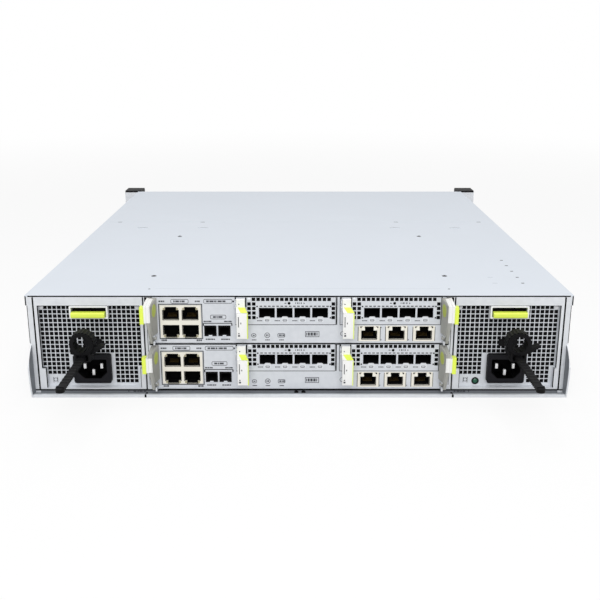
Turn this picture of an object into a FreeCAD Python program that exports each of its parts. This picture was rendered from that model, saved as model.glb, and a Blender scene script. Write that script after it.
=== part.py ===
import FreeCAD, Part
import math
import os
import re
import Sketcher

# Disk shelf enclosure, 2 rack units high, in millimetres.
# Frame: the connector side faces -Y, the disk side +Y, +X is to the right as seen from the
# connector side and +Z is up. The origin is the centre of the chassis underside.
# Controllers, interface modules and power modules are drawn in a frame of their own, whose
# origin lies on the rear plane at the module's lower edge, and are then placed.

SIZES = {
    # overlap of fused shapes, and how far a cut starts and ends outside
    "merge": 1.0,
    "over": 1.0,
    # chassis sheet metal
    "wall_room": 4.5,
    "sheet": 1.2,
    "cover_sheet": 1.0,
    "cover_gap": 0.1,
    "skirt_drop": 8.6,
    "seam_from_rear": 305.0,
    "seam_gap": 0.4,
    "rear_flange": 5.4,
    "sill_reach": 8.0,
    "sill_hem": 2.5,
    "hem_depth": 2.0,
    "sill_slit": 0.8,
    "wing_reach": 11.5,
    "wing_middle": 28.0,
    "wing_top": 44.0,
    "wing_curve": 90.0,
    "wing_neck": 30.0,
    "floor_rise": 2.9,
    "floor_setback": 0.6,
    # rack ears and their caps
    "ear_width": 22.3,
    "ear_inset": 1.0,
    "bolt_inset": 8.75,
    "bolt_pitch": 44.45,
    "bolt_low": 20.8,
    "bolt_radius": 3.4,
    "cap_depth": 28.0,
    "cap_wall": 2.4,
    "cap_access": 5.5,
    "cap_rise": 1.1,
    # divider posts and bays
    "post_width": 7.4,
    "slide_gap": 0.4,
    "seat_gap": 0.2,
    "edge_gap": 0.3,
    "controller_gap": 0.7,
    "shelf_sheet": 0.8,
    "shelf_setback": 3.0,
    "midplane_from_rear": 310.0,
    "board_sheet": 2.4,
    "plug_reach": 12.0,
    "plug_gap": 0.3,
    # finger crescents
    "crescent_width": 12.5,
    "crescent_depth": 0.5,
    "crescent_from_seam": 33.5,
    "crescent_outer": 6.6,
    "crescent_inner": 9.0,
    "crescent_near": 106.3,
    "crescent_far": 173.5,
    # disk cage, carriers and disks
    "cage_sheet": 1.2,
    "cage_shelf": 0.6,
    "cage_setback": 1.0,
    "carrier_gap": 0.4,
    "carrier_head": 0.4,
    "bezel_reach": 6.0,
    "bezel_depth": 14.0,
    "bezel_recess": 7.0,
    "bezel_rim": 2.2,
    "vent_width": 12.0,
    "vent_pitch": 16.4,
    "vent_height": 12.0,
    "disk_width": 101.6,
    "disk_length": 147.0,
    "disk_height": 26.1,
    "disk_room": 7.9,
    "row_room": 1.83,
    "disk_setback": 48.6,
    "disk_from_board": 12.0,
    "rail_height": 18.0,
    "grip_short": 9.5,
    "grip_thick": 3.4,
    "grip_taper": 18.0,
    "grip_hub": 2.6,
    "grip_inset": 6.0,
    "pin_gap": 0.3,
    # midplane connectors
    "socket_width": 43.0,
    "socket_height": 6.5,
    "socket_reach": 11.7,
    "window_width": 62.0,
    "window_height": 13.0,
    # controllers
    "tray_sheet": 0.9,
    "panel_sheet": 1.2,
    "body_inset": 0.3,
    "slot_low": 16.3,
    "slot_left": -52.5,
    "slot_width": 82.3,
    "slot_bar": 3.7,
    "panel_edge": 4.1,
    "pcb_sheet": 1.6,
    "pcb_lift": 0.1,
    "pcb_margin": 2.0,
    "pcb_from_panel": 1.6,
    "lug_width": 1.2,
    "lug_gap": 0.3,
    "lug_reach": 8.0,
    "lug_height": 10.0,
    # stacked four-jack block, single jacks and cable ports
    "block_inset": 5.9,
    "block_low": 4.8,
    "block_width": 33.8,
    "block_height": 28.2,
    "block_depth": 24.0,
    "jack_width": 12.8,
    "jack_height": 10.6,
    "jack_depth": 13.5,
    "block_pitch_x": 15.9,
    "block_pitch_z": 15.5,
    "block_rim_x": 2.5,
    "block_rim_z": 0.3,
    "single_aside": 8.4,
    "single_low": 2.1,
    "single_width": 17.7,
    "single_height": 13.2,
    "single_depth": 17.0,
    "single_pitch": 22.5,
    "mouth_rise": 0.9,
    "flange_proud": 0.5,
    "flange_lip": 0.6,
    "port_aside": 2.3,
    "port_low": 6.7,
    "port_width": 9.9,
    "port_height": 8.5,
    "port_pitch": 11.5,
    "port_wall": 1.0,
    "port_depth": 26.0,
    # controller circuit board parts
    "sink_left": -30.0,
    "sink_width": 96.0,
    "sink_behind": 26.0,
    "sink_before": 18.0,
    "sink_base": 3.0,
    "sink_height": 32.0,
    "fin_sheet": 1.6,
    "memory_aside": 12.0,
    "memory_margin": 4.0,
    "memory_pitch": 9.0,
    "memory_sheet": 4.0,
    "memory_height": 30.0,
    "pack_aside": 4.0,
    "pack_behind": 6.0,
    "pack_length": 74.0,
    "pack_width": 44.0,
    "pack_height": 22.0,
    "mate_width": 86.0,
    "mate_height": 11.0,
    "mate_length": 20.0,
    # controller lever
    "lever_lap": 0.6,
    "lever_reach": 21.0,
    "lever_pad_drop": 1.4,
    "lever_pad_height": 13.8,
    "lever_top_gap": 0.6,
    "lever_axis_out": 4.4,
    "lever_axis_up": 6.0,
    "lever_pin": 1.5,
    "lever_gap": 0.5,
    "lever_bow": 60.0,
    "lever_crown": 3.0,
    "lever_heel": 3.0,
    "thumb_inset": 4.5,
    "thumb_width": 5.0,
    "thumb_taper": 3.0,
    "thumb_margin": 1.5,
    "thumb_depth": 1.2,
    # interface module
    "face_sheet": 1.0,
    "face_gap": 0.2,
    "cage_aside": 18.3,
    "cage_low": 21.4,
    "cage_width": 59.1,
    "cage_height": 10.0,
    "cage_depth": 48.0,
    "bay_width": 13.0,
    "bay_height": 8.4,
    "bay_pitch": 14.5,
    "bay_rim": 1.3,
    "bay_depth": 45.0,
    "grid_hole": 2.9,
    "grid_pitch": 7.7,
    "grid_aside": 15.3,
    "grid_drop": 1.5,
    "module_depth": 150.0,
    "module_rail": 1.2,
    "chip_size": 34.0,
    "chip_height": 6.0,
    "chip_from_cage": 20.0,
    # interface module handle
    "handle_width": 8.3,
    "pad_width": 11.4,
    "handle_bend_drop": 4.4,
    "handle_step_drop": 8.9,
    "handle_foot": 1.6,
    "handle_reach": 17.5,
    "handle_wall": 4.6,
    "handle_hub": 3.2,
    "handle_axis_out": 3.8,
    "handle_axis_drop": 4.2,
    "handle_pin": 1.2,
    "handle_lug": 1.0,
    "handle_ear": 5.6,
    # power module
    "psu_sheet": 1.0,
    "psu_recess": 5.0,
    "psu_rim": 2.35,
    "recess_drop": 7.3,
    "recess_low": 1.2,
    "step_up": 18.3,
    "step_left": 3.0,
    "step_right": 1.4,
    "mesh_pitch": 11.4,
    "mesh_hole": 9.0,
    "mesh_drop": 38.6,
    "fan_radius": 27.0,
    "fan_lift": 3.8,
    "fan_from_rear": 34.0,
    "fan_depth": 16.0,
    "fan_hub": 12.0,
    "fan_shaft": 3.0,
    "fan_tip_gap": 1.5,
    "rotor_gap": 2.0,
    "shaft_setback": 1.0,
    "bulkhead": 3.0,
    "blade_chord": 12.0,
    "blade_sheet": 1.4,
    "blade_inset": 1.0,
    "blade_root": 3.0,
    "power_board_low": 4.0,
    "power_board_from_rear": 62.0,
    "power_board_inset": 1.0,
    "foot_half": 3.0,
    "foot_inset": 8.0,
    "winding_aside": 60.0,
    "winding_size": 42.0,
    "winding_height": 46.0,
    "edge_width": 52.0,
    "edge_height": 8.0,
    "edge_up": 12.0,
    # mains inlet
    "inlet_width": 31.0,
    "inlet_low": 5.5,
    "inlet_height": 24.9,
    "inlet_corner": 2.0,
    "inlet_body_inset": 2.0,
    "inlet_body_depth": 19.0,
    "cavity_width": 24.0,
    "cavity_height": 16.6,
    "cavity_depth": 16.5,
    "cavity_chamfer": 5.2,
    "contact_pitch": 14.0,
    "contact_width": 2.0,
    "contact_height": 4.0,
    "contact_setback": 4.0,
    "contact_up": 13.6,
    "earth_up": 8.0,
    # power module latch
    "well_half": 15.3,
    "well_drop": 18.2,
    "well_height": 10.1,
    "well_wall": 1.0,
    "latch_half": 13.7,
    "latch_height": 4.6,
    "latch_reach": 4.4,
    "latch_round": 1.2,
    # cord strap and clamp
    "strap_up": 40.2,
    "strap_aside": 1.0,
    "strap_width": 5.6,
    "strap_thick": 1.8,
    "strap_length": 100.0,
    "tooth_pitch": 6.0,
    "tooth_height": 0.5,
    "tooth_run": 2.1,
    "tooth_start": 14.0,
    "tooth_end": 8.0,
    "strap_stop": 1.2,
    "stop_depth": 2.5,
    "root_half": 7.5,
    "root_depth": 2.5,
    "clamp_from_panel": 22.0,
    "clamp_depth": 12.0,
    "clamp_width": 24.0,
    "clamp_low": 3.4,
    "clamp_high": 3.6,
    "ring_up": 11.0,
    "ring_outer": 10.5,
    "ring_inner": 7.0,
    "ring_split": 1.6,
    "clamp_gap": 0.35,
    "tab_length": 9.0,
    "tab_thick": 2.4,
    "tab_droop": 3.0,
    "tab_inset": 3.0,
}

# Sizes that follow from the ones above.
DERIVED = {
    "column_pitch": "disk_width + disk_room",
    "row_pitch": "disk_height + row_room",
    "cage_half": "2 * column_pitch",
    "chassis_half": "cage_half + wall_room",
    "ear_edge": "cage_half + ear_width",
    "bolt_line": "ear_edge - bolt_inset",
    "disk_from_rear": "midplane_from_rear + board_sheet + disk_from_board",
    "chassis_depth": "disk_from_rear + disk_length + disk_setback",
    "rear": "-chassis_depth / 2",
    "front": "chassis_depth / 2",
    "wall_out": "chassis_half - cover_sheet - cover_gap",
    "wall_in": "wall_out - sheet",
    "roof": "sheet + 3 * row_pitch",
    "chassis_height": "roof + cover_gap + cover_sheet",
    "cap_top": "chassis_height + cap_rise",
    "flange_edge": "wall_out - rear_flange",
    "floor_top": "sheet + floor_rise",
    "midplane": "rear + midplane_from_rear",
    "seam": "rear + seam_from_rear",
    "slot_pitch": "slot_width + slot_bar",
    "controller_half": "slot_left + slot_pitch + slot_width + panel_edge",
    "bay_half": "controller_half + slide_gap",
    "post_out": "bay_half + post_width",
    "controller_low": "floor_top + edge_gap",
    "controller_tall": "(roof - floor_top - 2 * edge_gap - controller_gap) / 2",
    "controller_rise": "controller_tall + controller_gap",
    "module_end": "midplane_from_rear - plug_reach",
    "tray_in": "controller_half - tray_sheet",
    "tray_floor": "body_inset + tray_sheet",
    "pcb_low": "tray_floor + pcb_lift",
    "pcb_top": "pcb_low + pcb_sheet",
    "carrier_half": "(column_pitch - cage_sheet) / 2 - carrier_gap",
    "carrier_lift": "cage_shelf / 2 + seat_gap",
    "carrier_tall": "row_pitch - cage_shelf - seat_gap - carrier_head",
    "disk_rear": "rear + disk_from_rear",
    "psu_middle": "(post_out + flange_edge) / 2",
    "psu_half": "(flange_edge - post_out) / 2 - slide_gap",
    "psu_low": "floor_top + seat_gap",
    "psu_tall": "roof - psu_low - edge_gap",
    "recess_half": "psu_half - psu_rim",
    "recess_top": "psu_tall - recess_drop",
    "mesh_low": "psu_tall - mesh_drop",
    "well_low": "psu_tall - well_drop",
    "fan_axis_up": "psu_tall / 2 + fan_lift",
    "slot_top": "controller_tall - face_gap",
    "face_low": "slot_low + face_gap",
    "face_left": "slot_left + face_gap",
    "face_right": "slot_left + slot_width - face_gap",
    "module_pcb": "cage_low - pcb_sheet",
    "cage_left": "slot_left + cage_aside",
    "grid_left": "slot_left + grid_aside",
    "grid_up": "slot_top - grid_drop",
    "handle_axis_up": "slot_top - handle_axis_drop",
    "handle_bend": "handle_axis_up - handle_bend_drop",
    "handle_step": "handle_axis_up - handle_step_drop",
    "block_left": "-controller_half + block_inset",
    "port_left": "block_left + block_width + port_aside",
    "single_left": "controller_half - single_aside - single_width - 2 * single_pitch",
    "mate_start": "module_end - mate_length",
    "lever_left": "controller_half - lever_lap",
    "lever_top": "controller_tall - lever_top_gap",
    "lever_pad_top": "lever_top - lever_pad_drop",
    "lever_pad_low": "lever_pad_top - lever_pad_height",
    "heel_radius": "lever_axis_out - lever_gap",
    "lever_foot": "lever_axis_up - heel_radius",
    "lug_in": "lever_left - lug_gap - lug_width",
    "cavity_low": "inlet_low + (inlet_height - cavity_height) / 2",
}

COLUMNS = 4
ROWS = 3
BLADES = 7
FINS = 12

doc = FreeCAD.newDocument("disk_shelf_enclosure")
sheet = doc.addObject("Spreadsheet::Sheet", "Sizes")
for row, (alias, value) in enumerate(SIZES.items(), start=1):
    sheet.set(f"A{row}", alias)
    sheet.set(f"B{row}", str(value))
    sheet.setAlias(f"B{row}", alias)
doc.recompute()


# ---------------------------------------------------------------- sheet expressions


def bound(text):
    """An expression with each derived name written out and each alias read from the sheet."""

    def spell(found):
        word = found[0]
        if word in DERIVED:
            return f"({bound(DERIVED[word])})"
        return f"Sizes.{word}" if word in SIZES else word

    return re.sub(r"[a-z][a-z_]*", spell, str(text))


def number(text):
    return float(sheet.evalExpression(bound(text)))


def drive(thing, **cells):
    for name, text in cells.items():
        thing.setExpression(name, bound(text))
    return thing


def put(thing, x=0, y=0, z=0):
    for axis, text in zip("xyz", (x, y, z)):
        thing.setExpression(f".Placement.Base.{axis}", bound(text))
    return thing


# ---------------------------------------------------------------- primitives and booleans


def block(x, y, z, name="Block"):
    """A box between two limits on each axis."""
    box = doc.addObject("Part::Box", name)
    for side, (low, high) in zip(("Length", "Width", "Height"), (x, y, z)):
        box.setExpression(side, bound(f"({high}) - ({low})"))
    return put(box, x[0], y[0], z[0])


TURNS = {
    "x": FreeCAD.Rotation(FreeCAD.Vector(0, 1, 0), 90),
    "y": FreeCAD.Rotation(FreeCAD.Vector(1, 0, 0), -90),
    "z": FreeCAD.Rotation(),
}


def rod(axis, radius, x, y, z, name="Rod"):
    """A cylinder along one axis, where that axis has two limits and the others one value."""
    cylinder = doc.addObject("Part::Cylinder", name)
    low, high = {"x": x, "y": y, "z": z}[axis]
    drive(cylinder, Radius=radius, Height=f"({high}) - ({low})")
    cylinder.Placement = FreeCAD.Placement(FreeCAD.Vector(), TURNS[axis])
    spot = [low if name == axis else value for name, value in zip("xyz", (x, y, z))]
    return put(cylinder, *spot)


def fused(*pieces):
    joined = doc.addObject("Part::MultiFuse", "Fused")
    joined.Shapes = list(pieces)
    return joined


def together(*pieces):
    """Separate solids that belong to one sub-part."""
    group = doc.addObject("Part::Compound", "Together")
    group.Links = list(pieces)
    return group


# ---------------------------------------------------------------- bodies and sketches


def new_body(name="Body"):
    return doc.addObject("PartDesign::Body", name)


def origin_of(body, role):
    return next(f for f in body.Origin.OriginFeatures if f.Role == role)


def rect(left, right, low, high):
    return [(left, low), (right, low), (right, high), (left, high)]


def circle(x, y, radius):
    return (x, y, radius)


def arc_between(start, end, radius):
    """The arc from start to end, to the right of the line when radius is positive.
    It gives the arc and whether it runs from start to end counter-clockwise."""
    (ax, ay), (bx, by) = start, end
    half = math.dist(start, end) / 2
    rise = math.sqrt(max(radius * radius - half * half, 0)) / (2 * half)
    side = 1 if radius > 0 else -1
    cx = (ax + bx) / 2 - side * (by - ay) * rise
    cy = (ay + by) / 2 + side * (bx - ax) * rise
    first, last = (start, end) if side > 0 else (end, start)
    angles = [math.atan2(y - cy, x - cx) for x, y in (first, last)]
    if angles[1] < angles[0]:
        angles[1] += 2 * math.pi
    ring = Part.Circle(FreeCAD.Vector(cx, cy, 0), FreeCAD.Vector(0, 0, 1), abs(radius))
    return Part.ArcOfCircle(ring, *angles), side > 0


def hold(sketch, geometry, point, x, y):
    """Ties one point of a sketch to its place from the sketch's origin."""
    for kind, text in (("DistanceX", x), ("DistanceY", y)):
        rule = Sketcher.Constraint(kind, -1, 1, geometry, point, number(text))
        sketch.setExpression(f"Constraints[{sketch.addConstraint(rule)}]", bound(text))


def set_radius(sketch, geometry, text):
    rule = Sketcher.Constraint("Radius", geometry, abs(number(text)))
    sketch.setExpression(f"Constraints[{sketch.addConstraint(rule)}]", f"abs({bound(text)})")


def draw_circle(sketch, x, y, radius):
    spot = FreeCAD.Vector(number(x), number(y), 0)
    ring = Part.Circle(spot, FreeCAD.Vector(0, 0, 1), number(radius))
    index = sketch.addGeometry(ring)
    hold(sketch, index, 3, x, y)
    set_radius(sketch, index, radius)


def draw_outline(sketch, corners):
    """A closed outline. A corner with a third value starts an arc of that radius."""
    spots = [(number(corner[0]), number(corner[1])) for corner in corners]
    edges = []
    for index, corner in enumerate(corners):
        start, end = spots[index], spots[(index + 1) % len(spots)]
        if len(corner) == 3:
            shape, forward = arc_between(start, end, number(corner[2]))
        else:
            shape = Part.LineSegment(FreeCAD.Vector(*start, 0), FreeCAD.Vector(*end, 0))
            forward = True
        edges.append((sketch.addGeometry(shape), (1, 2) if forward else (2, 1)))
    for index, corner in enumerate(corners):
        geometry, (near, far) = edges[index]
        following, (next_near, _) = edges[(index + 1) % len(edges)]
        sketch.addConstraint(Sketcher.Constraint("Coincident", geometry, far, following, next_near))
        hold(sketch, geometry, near, corner[0], corner[1])
        if len(corner) == 3:
            set_radius(sketch, geometry, corner[2])


def draw(body, plane, level, outlines):
    """A sketch on one of the body's planes, moved along that plane's axis to a level."""
    sketch = body.newObject("Sketcher::SketchObject", "Sketch")
    sketch.AttachmentSupport = (origin_of(body, f"{plane}_Plane"), [""])
    sketch.MapMode = "FlatFace"
    sign = "-1" if plane == "XZ" else "1"
    sketch.setExpression(".AttachmentOffset.Base.z", bound(f"{sign} * ({level})"))
    for outline in outlines:
        if isinstance(outline, tuple):
            draw_circle(sketch, *outline)
        else:
            draw_outline(sketch, outline)
    return sketch


def add(body, plane, span, *outlines):
    """Pads outlines on a plane between two levels along that plane's axis."""
    pad = body.newObject("PartDesign::Pad", "Pad")
    pad.Profile = draw(body, plane, span[0], outlines)
    pad.Reversed = plane == "XZ"
    return drive(pad, Length=f"({span[1]}) - ({span[0]})")


def carve(body, plane, span, *outlines):
    """Pockets outlines on a plane between two levels along that plane's axis."""
    pocket = body.newObject("PartDesign::Pocket", "Pocket")
    pocket.Profile = draw(body, plane, span[0], outlines)
    pocket.Reversed = plane != "XZ"
    return drive(pocket, Length=f"({span[1]}) - ({span[0]})")


def rows_of(body, feature, across, up=None):
    """Repeats a feature in its sketch's directions. across and up are (pitch, count)."""
    doc.recompute()
    pattern = body.newObject("PartDesign::LinearPattern", "Rows")
    pattern.Originals = [feature]
    pattern.Direction = (feature.Profile[0], ["H_Axis"])
    pattern.Mode = "Spacing"
    pattern.Occurrences = across[1]
    drive(pattern, Offset=across[0])
    if up:
        pattern.Direction2 = (feature.Profile[0], ["V_Axis"])
        pattern.Mode2 = "Spacing"
        pattern.Occurrences2 = up[1]
        drive(pattern, Offset2=up[0])
    body.Tip = pattern
    return pattern


def round_edges(body, radius, chosen):
    """Fillets the edges of the body's newest feature that a test picks."""
    doc.recompute()
    feature = body.Tip
    names = [f"Edge{i}" for i, edge in enumerate(feature.Shape.Edges, 1) if chosen(edge)]
    fillet = body.newObject("PartDesign::Fillet", "Fillet")
    fillet.Base = (feature, names)
    return drive(fillet, Radius=radius)


def runs_along(edge, axis):
    ends = [vertex.Point for vertex in edge.Vertexes]
    if len(ends) < 2:
        return False
    step = ends[1] - ends[0]
    return step.Length > 1e-6 and abs(abs(step.dot(axis)) - step.Length) < 1e-6


# ---------------------------------------------------------------- chassis

PARTS = []
BOLT_LEVELS = ("bolt_low", "bolt_low + bolt_pitch")


def name_part(thing, label, x=0, y=0, z=0):
    """Gives a finished sub-part its name and its place."""
    put(thing, x, y, z)
    thing.Label = label
    PARTS.append(thing)
    return thing


def tray_shell():
    """Folded base and sides with the sill, side wings, raised module floor and rack ears."""
    body = new_body("TrayShell")
    folded = [("-wall_out", "0"), ("wall_out", "0"), ("wall_out", "roof"), ("wall_in", "roof")]
    folded += [("wall_in", "sheet"), ("-wall_in", "sheet"), ("-wall_in", "roof"), ("-wall_out", "roof")]
    add(body, "XZ", ("rear", "front"), folded)
    hem = "rear - sill_reach + hem_depth"
    sill = [("rear - sill_reach", "0"), ("rear + merge", "0"), ("rear + merge", "sheet")]
    sill += [(hem, "sheet"), (hem, "sill_hem"), ("rear - sill_reach", "sill_hem")]
    add(body, "YZ", ("-wall_out", "wall_out"), sill)
    wing = [("rear + merge", "0"), ("rear + merge", "wing_top"), ("rear", "wing_top", "-wing_neck")]
    wing += [("rear - wing_reach", "wing_middle", "wing_curve"), ("rear - sill_reach", "0")]
    step = "rear + floor_setback"
    raised = [(step, "sheet"), (f"{step} + sheet", "sheet"), (f"{step} + sheet", "floor_top - sheet")]
    raised += [("midplane", "floor_top - sheet"), ("midplane", "floor_top"), (step, "floor_top")]
    add(body, "YZ", ("-wall_in", "wall_in"), raised)
    for side in ("-1", "1"):
        near, far = sorted((f"{side} * wall_in", f"{side} * wall_out"), key=number)
        add(body, "YZ", (near, far), wing)
        near, far = sorted((f"{side} * flange_edge", f"{side} * wall_in"), key=number)
        add(body, "XZ", ("rear", "rear + sheet"), rect(near, far, "sheet", "roof"))
        near, far = sorted((f"{side} * wall_in", f"{side} * ear_edge"), key=number)
        bolts = [circle(f"{side} * bolt_line", up, "bolt_radius") for up in BOLT_LEVELS]
        add(body, "XZ", ("front - sheet", "front"), rect(near, far, "ear_inset", "roof"), *bolts)
    slits = [rect(f"{x} - sill_slit / 2", f"{x} + sill_slit / 2", "rear - sill_reach - over", "rear")
             for x in ("-post_out", "post_out")]
    carve(body, "XY", ("-over", "sill_hem + over"), *slits)
    return body


def post(side):
    """Divider between a power bay and the controllers: a channel with folded rear and top."""
    body = new_body("Post")

    def mirrored(corners):
        return [(f"{side} * ({x})", y) for x, y in corners]

    inner = "bay_half + sheet"
    channel = [("bay_half", "rear"), ("post_out", "rear"), ("post_out", "rear + sheet")]
    channel += [(inner, "rear + sheet"), (inner, "midplane"), ("bay_half", "midplane")]
    add(body, "XY", ("floor_top", "roof"), mirrored(channel))
    top = [("bay_half", "rear"), ("post_out", "rear"), ("post_out", "midplane"), ("bay_half", "midplane")]
    add(body, "XY", ("roof - sheet", "roof"), mirrored(top))
    return body


def disk_cage():
    """Upright walls between the disk columns and the shelves between the disk rows."""
    depth = ("midplane + board_sheet", "front - cage_setback")
    half = "cage_sheet / 2"
    lines = [f"-cage_half + {column} * column_pitch" for column in range(COLUMNS + 1)]
    walls = [block((f"{x} - {half}", f"{x} + {half}"), depth, ("sheet", "roof")) for x in lines]
    shelves = []
    for column in range(COLUMNS):
        across = (f"{lines[column]} + {half}", f"{lines[column + 1]} - {half}")
        for row in range(1, ROWS):
            level = f"sheet + {row} * row_pitch"
            shelves.append(block(across, depth, (f"{level} - cage_shelf / 2", f"{level} + cage_shelf / 2")))
    return walls + shelves


def bay_dividers():
    """The two posts, the shelf between the controllers, and the disk cage."""
    middle = "controller_low + controller_tall + (controller_gap - shelf_sheet) / 2"
    shelf = block(("-bay_half", "bay_half"), ("rear + shelf_setback", "midplane"),
                  (middle, f"{middle} + shelf_sheet"))
    return together(post("-1"), post("1"), shelf, *disk_cage())


def crescent(x, y):
    """A half-moon with its horns to the front."""
    half = "crescent_width / 2"
    return [(f"{x} - {half}", y, "crescent_outer"), (f"{x} + {half}", y, "-crescent_inner")]


def cover(span, details):
    """A cover sheet with a short folded skirt on each side."""
    body = new_body("Cover")
    half, inner = "chassis_half", "chassis_half - cover_sheet"
    low, under, top = "chassis_height - skirt_drop", "chassis_height - cover_sheet", "chassis_height"
    folded = [(f"-({half})", low), (f"-({inner})", low), (f"-({inner})", under), (inner, under)]
    folded += [(inner, low), (half, low), (half, top), (f"-({half})", top)]
    add(body, "XZ", span, folded)
    details(body)
    return body


def front_details(body):
    """The skirts stop short of the rack ears."""
    low = "chassis_height - skirt_drop - over"
    past = "chassis_half + over"
    carve(body, "XY", (low, "roof"), rect(f"-({past})", past, "front - sheet - cover_gap", "front + over"))


def rear_details(body):
    moons = [crescent(f"{side} * {x}", "seam - crescent_from_seam")
             for side in ("-1", "1") for x in ("crescent_near", "crescent_far")]
    carve(body, "XY", ("chassis_height - crescent_depth", "chassis_height + over"), *moons)


def ear_trims():
    """Hollow moulded caps over the rack ears, each with two access windows for the rack bolts."""
    caps = []
    for side in ("-1", "1"):
        body = new_body("EarCap")
        near, far = sorted((f"{side} * cage_half", f"{side} * ear_edge"), key=number)
        face = "front + cap_depth"
        profile = [("front", "0"), (f"{face} - cap_wall", "0"), (face, "cap_wall")]
        profile += [(face, "cap_top - cap_wall"), (f"{face} - cap_wall", "cap_top"), ("front", "cap_top")]
        add(body, "YZ", (near, far), profile)
        hollow = rect(f"{near} + cap_wall", f"{far} - cap_wall", "cap_wall", "cap_top - cap_wall")
        carve(body, "XZ", ("front", f"{face} - cap_wall"), hollow)
        middle = f"{side} * bolt_line"
        left, right = f"{middle} - cap_access", f"{middle} + cap_access"
        reach = [rect(left, right, f"{up} - cap_access", f"{up} + cap_access") for up in BOLT_LEVELS]
        carve(body, "XZ", ("front + cap_depth / 2", f"{face} + over"), *reach)
        caps.append(body)
    return together(*caps)


def midplane_board():
    """The board that all modules plug into, with a socket for each on its two faces."""
    body = new_body("Board")
    half = "cage_half - cage_sheet / 2"
    windows = []
    for column in range(COLUMNS):
        middle = f"-cage_half + ({column} + 0.5) * column_pitch"
        for row in range(1, ROWS):
            level = f"sheet + {row} * row_pitch"
            windows.append(rect(f"{middle} - window_width / 2", f"{middle} + window_width / 2",
                                f"{level} - window_height / 2", f"{level} + window_height / 2"))
    add(body, "XZ", ("midplane", "midplane + board_sheet"),
        rect(f"-({half})", half, "sheet", "roof"), *windows)
    sockets = []
    for column in range(COLUMNS):
        middle = f"-cage_half + ({column} + 0.5) * column_pitch"
        for row in range(ROWS):
            level = f"sheet + {row} * row_pitch + row_pitch / 2"
            sockets.append(block((f"{middle} - socket_width / 2", f"{middle} + socket_width / 2"),
                                 ("midplane + board_sheet", "midplane + board_sheet + socket_reach"),
                                 (f"{level} - socket_height / 2", f"{level} + socket_height / 2")))
    return together(body, *sockets)


# ---------------------------------------------------------------- disk carriers


def carrier():
    """Bezel with vents and two side rails, and the disk between the rails.
    The origin is the middle of the carrier's lower edge on the front plane."""
    body = new_body("Carrier")
    face = ("bezel_reach - bezel_depth", "bezel_reach")
    add(body, "XZ", face, rect("-carrier_half", "carrier_half", "0", "carrier_tall"))
    recess = rect("-carrier_half + bezel_rim", "carrier_half - bezel_rim",
                  "bezel_rim", "carrier_tall - bezel_rim")
    carve(body, "XZ", ("bezel_reach - bezel_recess", "bezel_reach + over"), recess)
    vent = carve(body, "XZ", ("bezel_reach - bezel_depth - over", "bezel_reach"),
                 rect("-2 * vent_pitch - vent_width / 2", "-2 * vent_pitch + vent_width / 2",
                      "(carrier_tall - vent_height) / 2", "(carrier_tall + vent_height) / 2"))
    rows_of(body, vent, ("vent_pitch", 5))
    rails = []
    for side in ("-1", "1"):
        near, far = sorted((f"{side} * disk_width / 2", f"{side} * carrier_half"), key=number)
        rails.append(block((near, far), ("disk_rear - front", "bezel_reach - bezel_depth"),
                           ("(carrier_tall - rail_height) / 2", "(carrier_tall + rail_height) / 2")))
    frame = fused(body, *rails)
    low, start = "(carrier_tall - disk_height) / 2", "disk_rear - front"
    disk = block(("-disk_width / 2", "disk_width / 2"), (start, f"{start} + disk_length"),
                 (low, f"{low} + disk_height"))
    return together(frame, disk)


def carrier_grip():
    """Tapered pull lever that fills the bezel's recess and turns on its rounded left end."""
    body = new_body("Grip")
    left = "-carrier_half + grip_inset"
    right = "carrier_half - grip_short"
    hinge = "bezel_reach - bezel_recess / 2"
    back, face = f"{hinge} - grip_hub", f"{hinge} + grip_hub"
    bar = [(left, face, "grip_hub"), (f"{left} - grip_hub", hinge, "grip_hub"), (left, back)]
    bar += [(right, back), (right, f"{back} + grip_thick"), (f"{right} - grip_taper", face)]
    add(body, "XY", ("bezel_rim + pin_gap", "carrier_tall - bezel_rim - pin_gap"), bar)
    return body


# ---------------------------------------------------------------- controllers


def four_blocks():
    """Openings of the stacked jack block: two columns by two rows."""
    left, low = "block_left + block_rim_x", "block_low + block_rim_z"
    return [(f"{left} + {column} * block_pitch_x", f"{low} + {row} * block_pitch_z")
            for row in range(2) for column in range(2)]


def single_jacks():
    return [f"single_left + {index} * single_pitch" for index in range(3)]


def cable_ports():
    return [f"port_left + {index} * port_pitch" for index in range(2)]


def panel_windows():
    """Cut-outs of the rear panel: jack block, cable ports, single jacks."""
    windows = [rect("block_left", "block_left + block_width", "block_low", "block_low + block_height")]
    for left in single_jacks():
        windows.append(rect(f"{left} + flange_lip", f"{left} + single_width - flange_lip",
                            "single_low + flange_lip", "single_low + single_height - flange_lip"))
    for left in cable_ports():
        windows.append(rect(left, f"{left} + port_width", "port_low", "port_low + port_height"))
    return windows


def slotted_lug(reach, base, half, out, up, slot):
    """A lug that stands out of a panel, with a slot open to the front for a hinge pin."""
    front, inner = f"-({reach})", f"-{out} + {slot}"
    lug = [(front, f"{up} - {half}"), (base, f"{up} - {half}"), (base, f"{up} + {half}")]
    lug += [(front, f"{up} + {half}"), (front, f"{up} + {slot}"), (inner, f"{up} + {slot}")]
    lug += [(inner, f"{up} - ({slot})"), (front, f"{up} - ({slot})")]
    return lug


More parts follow.
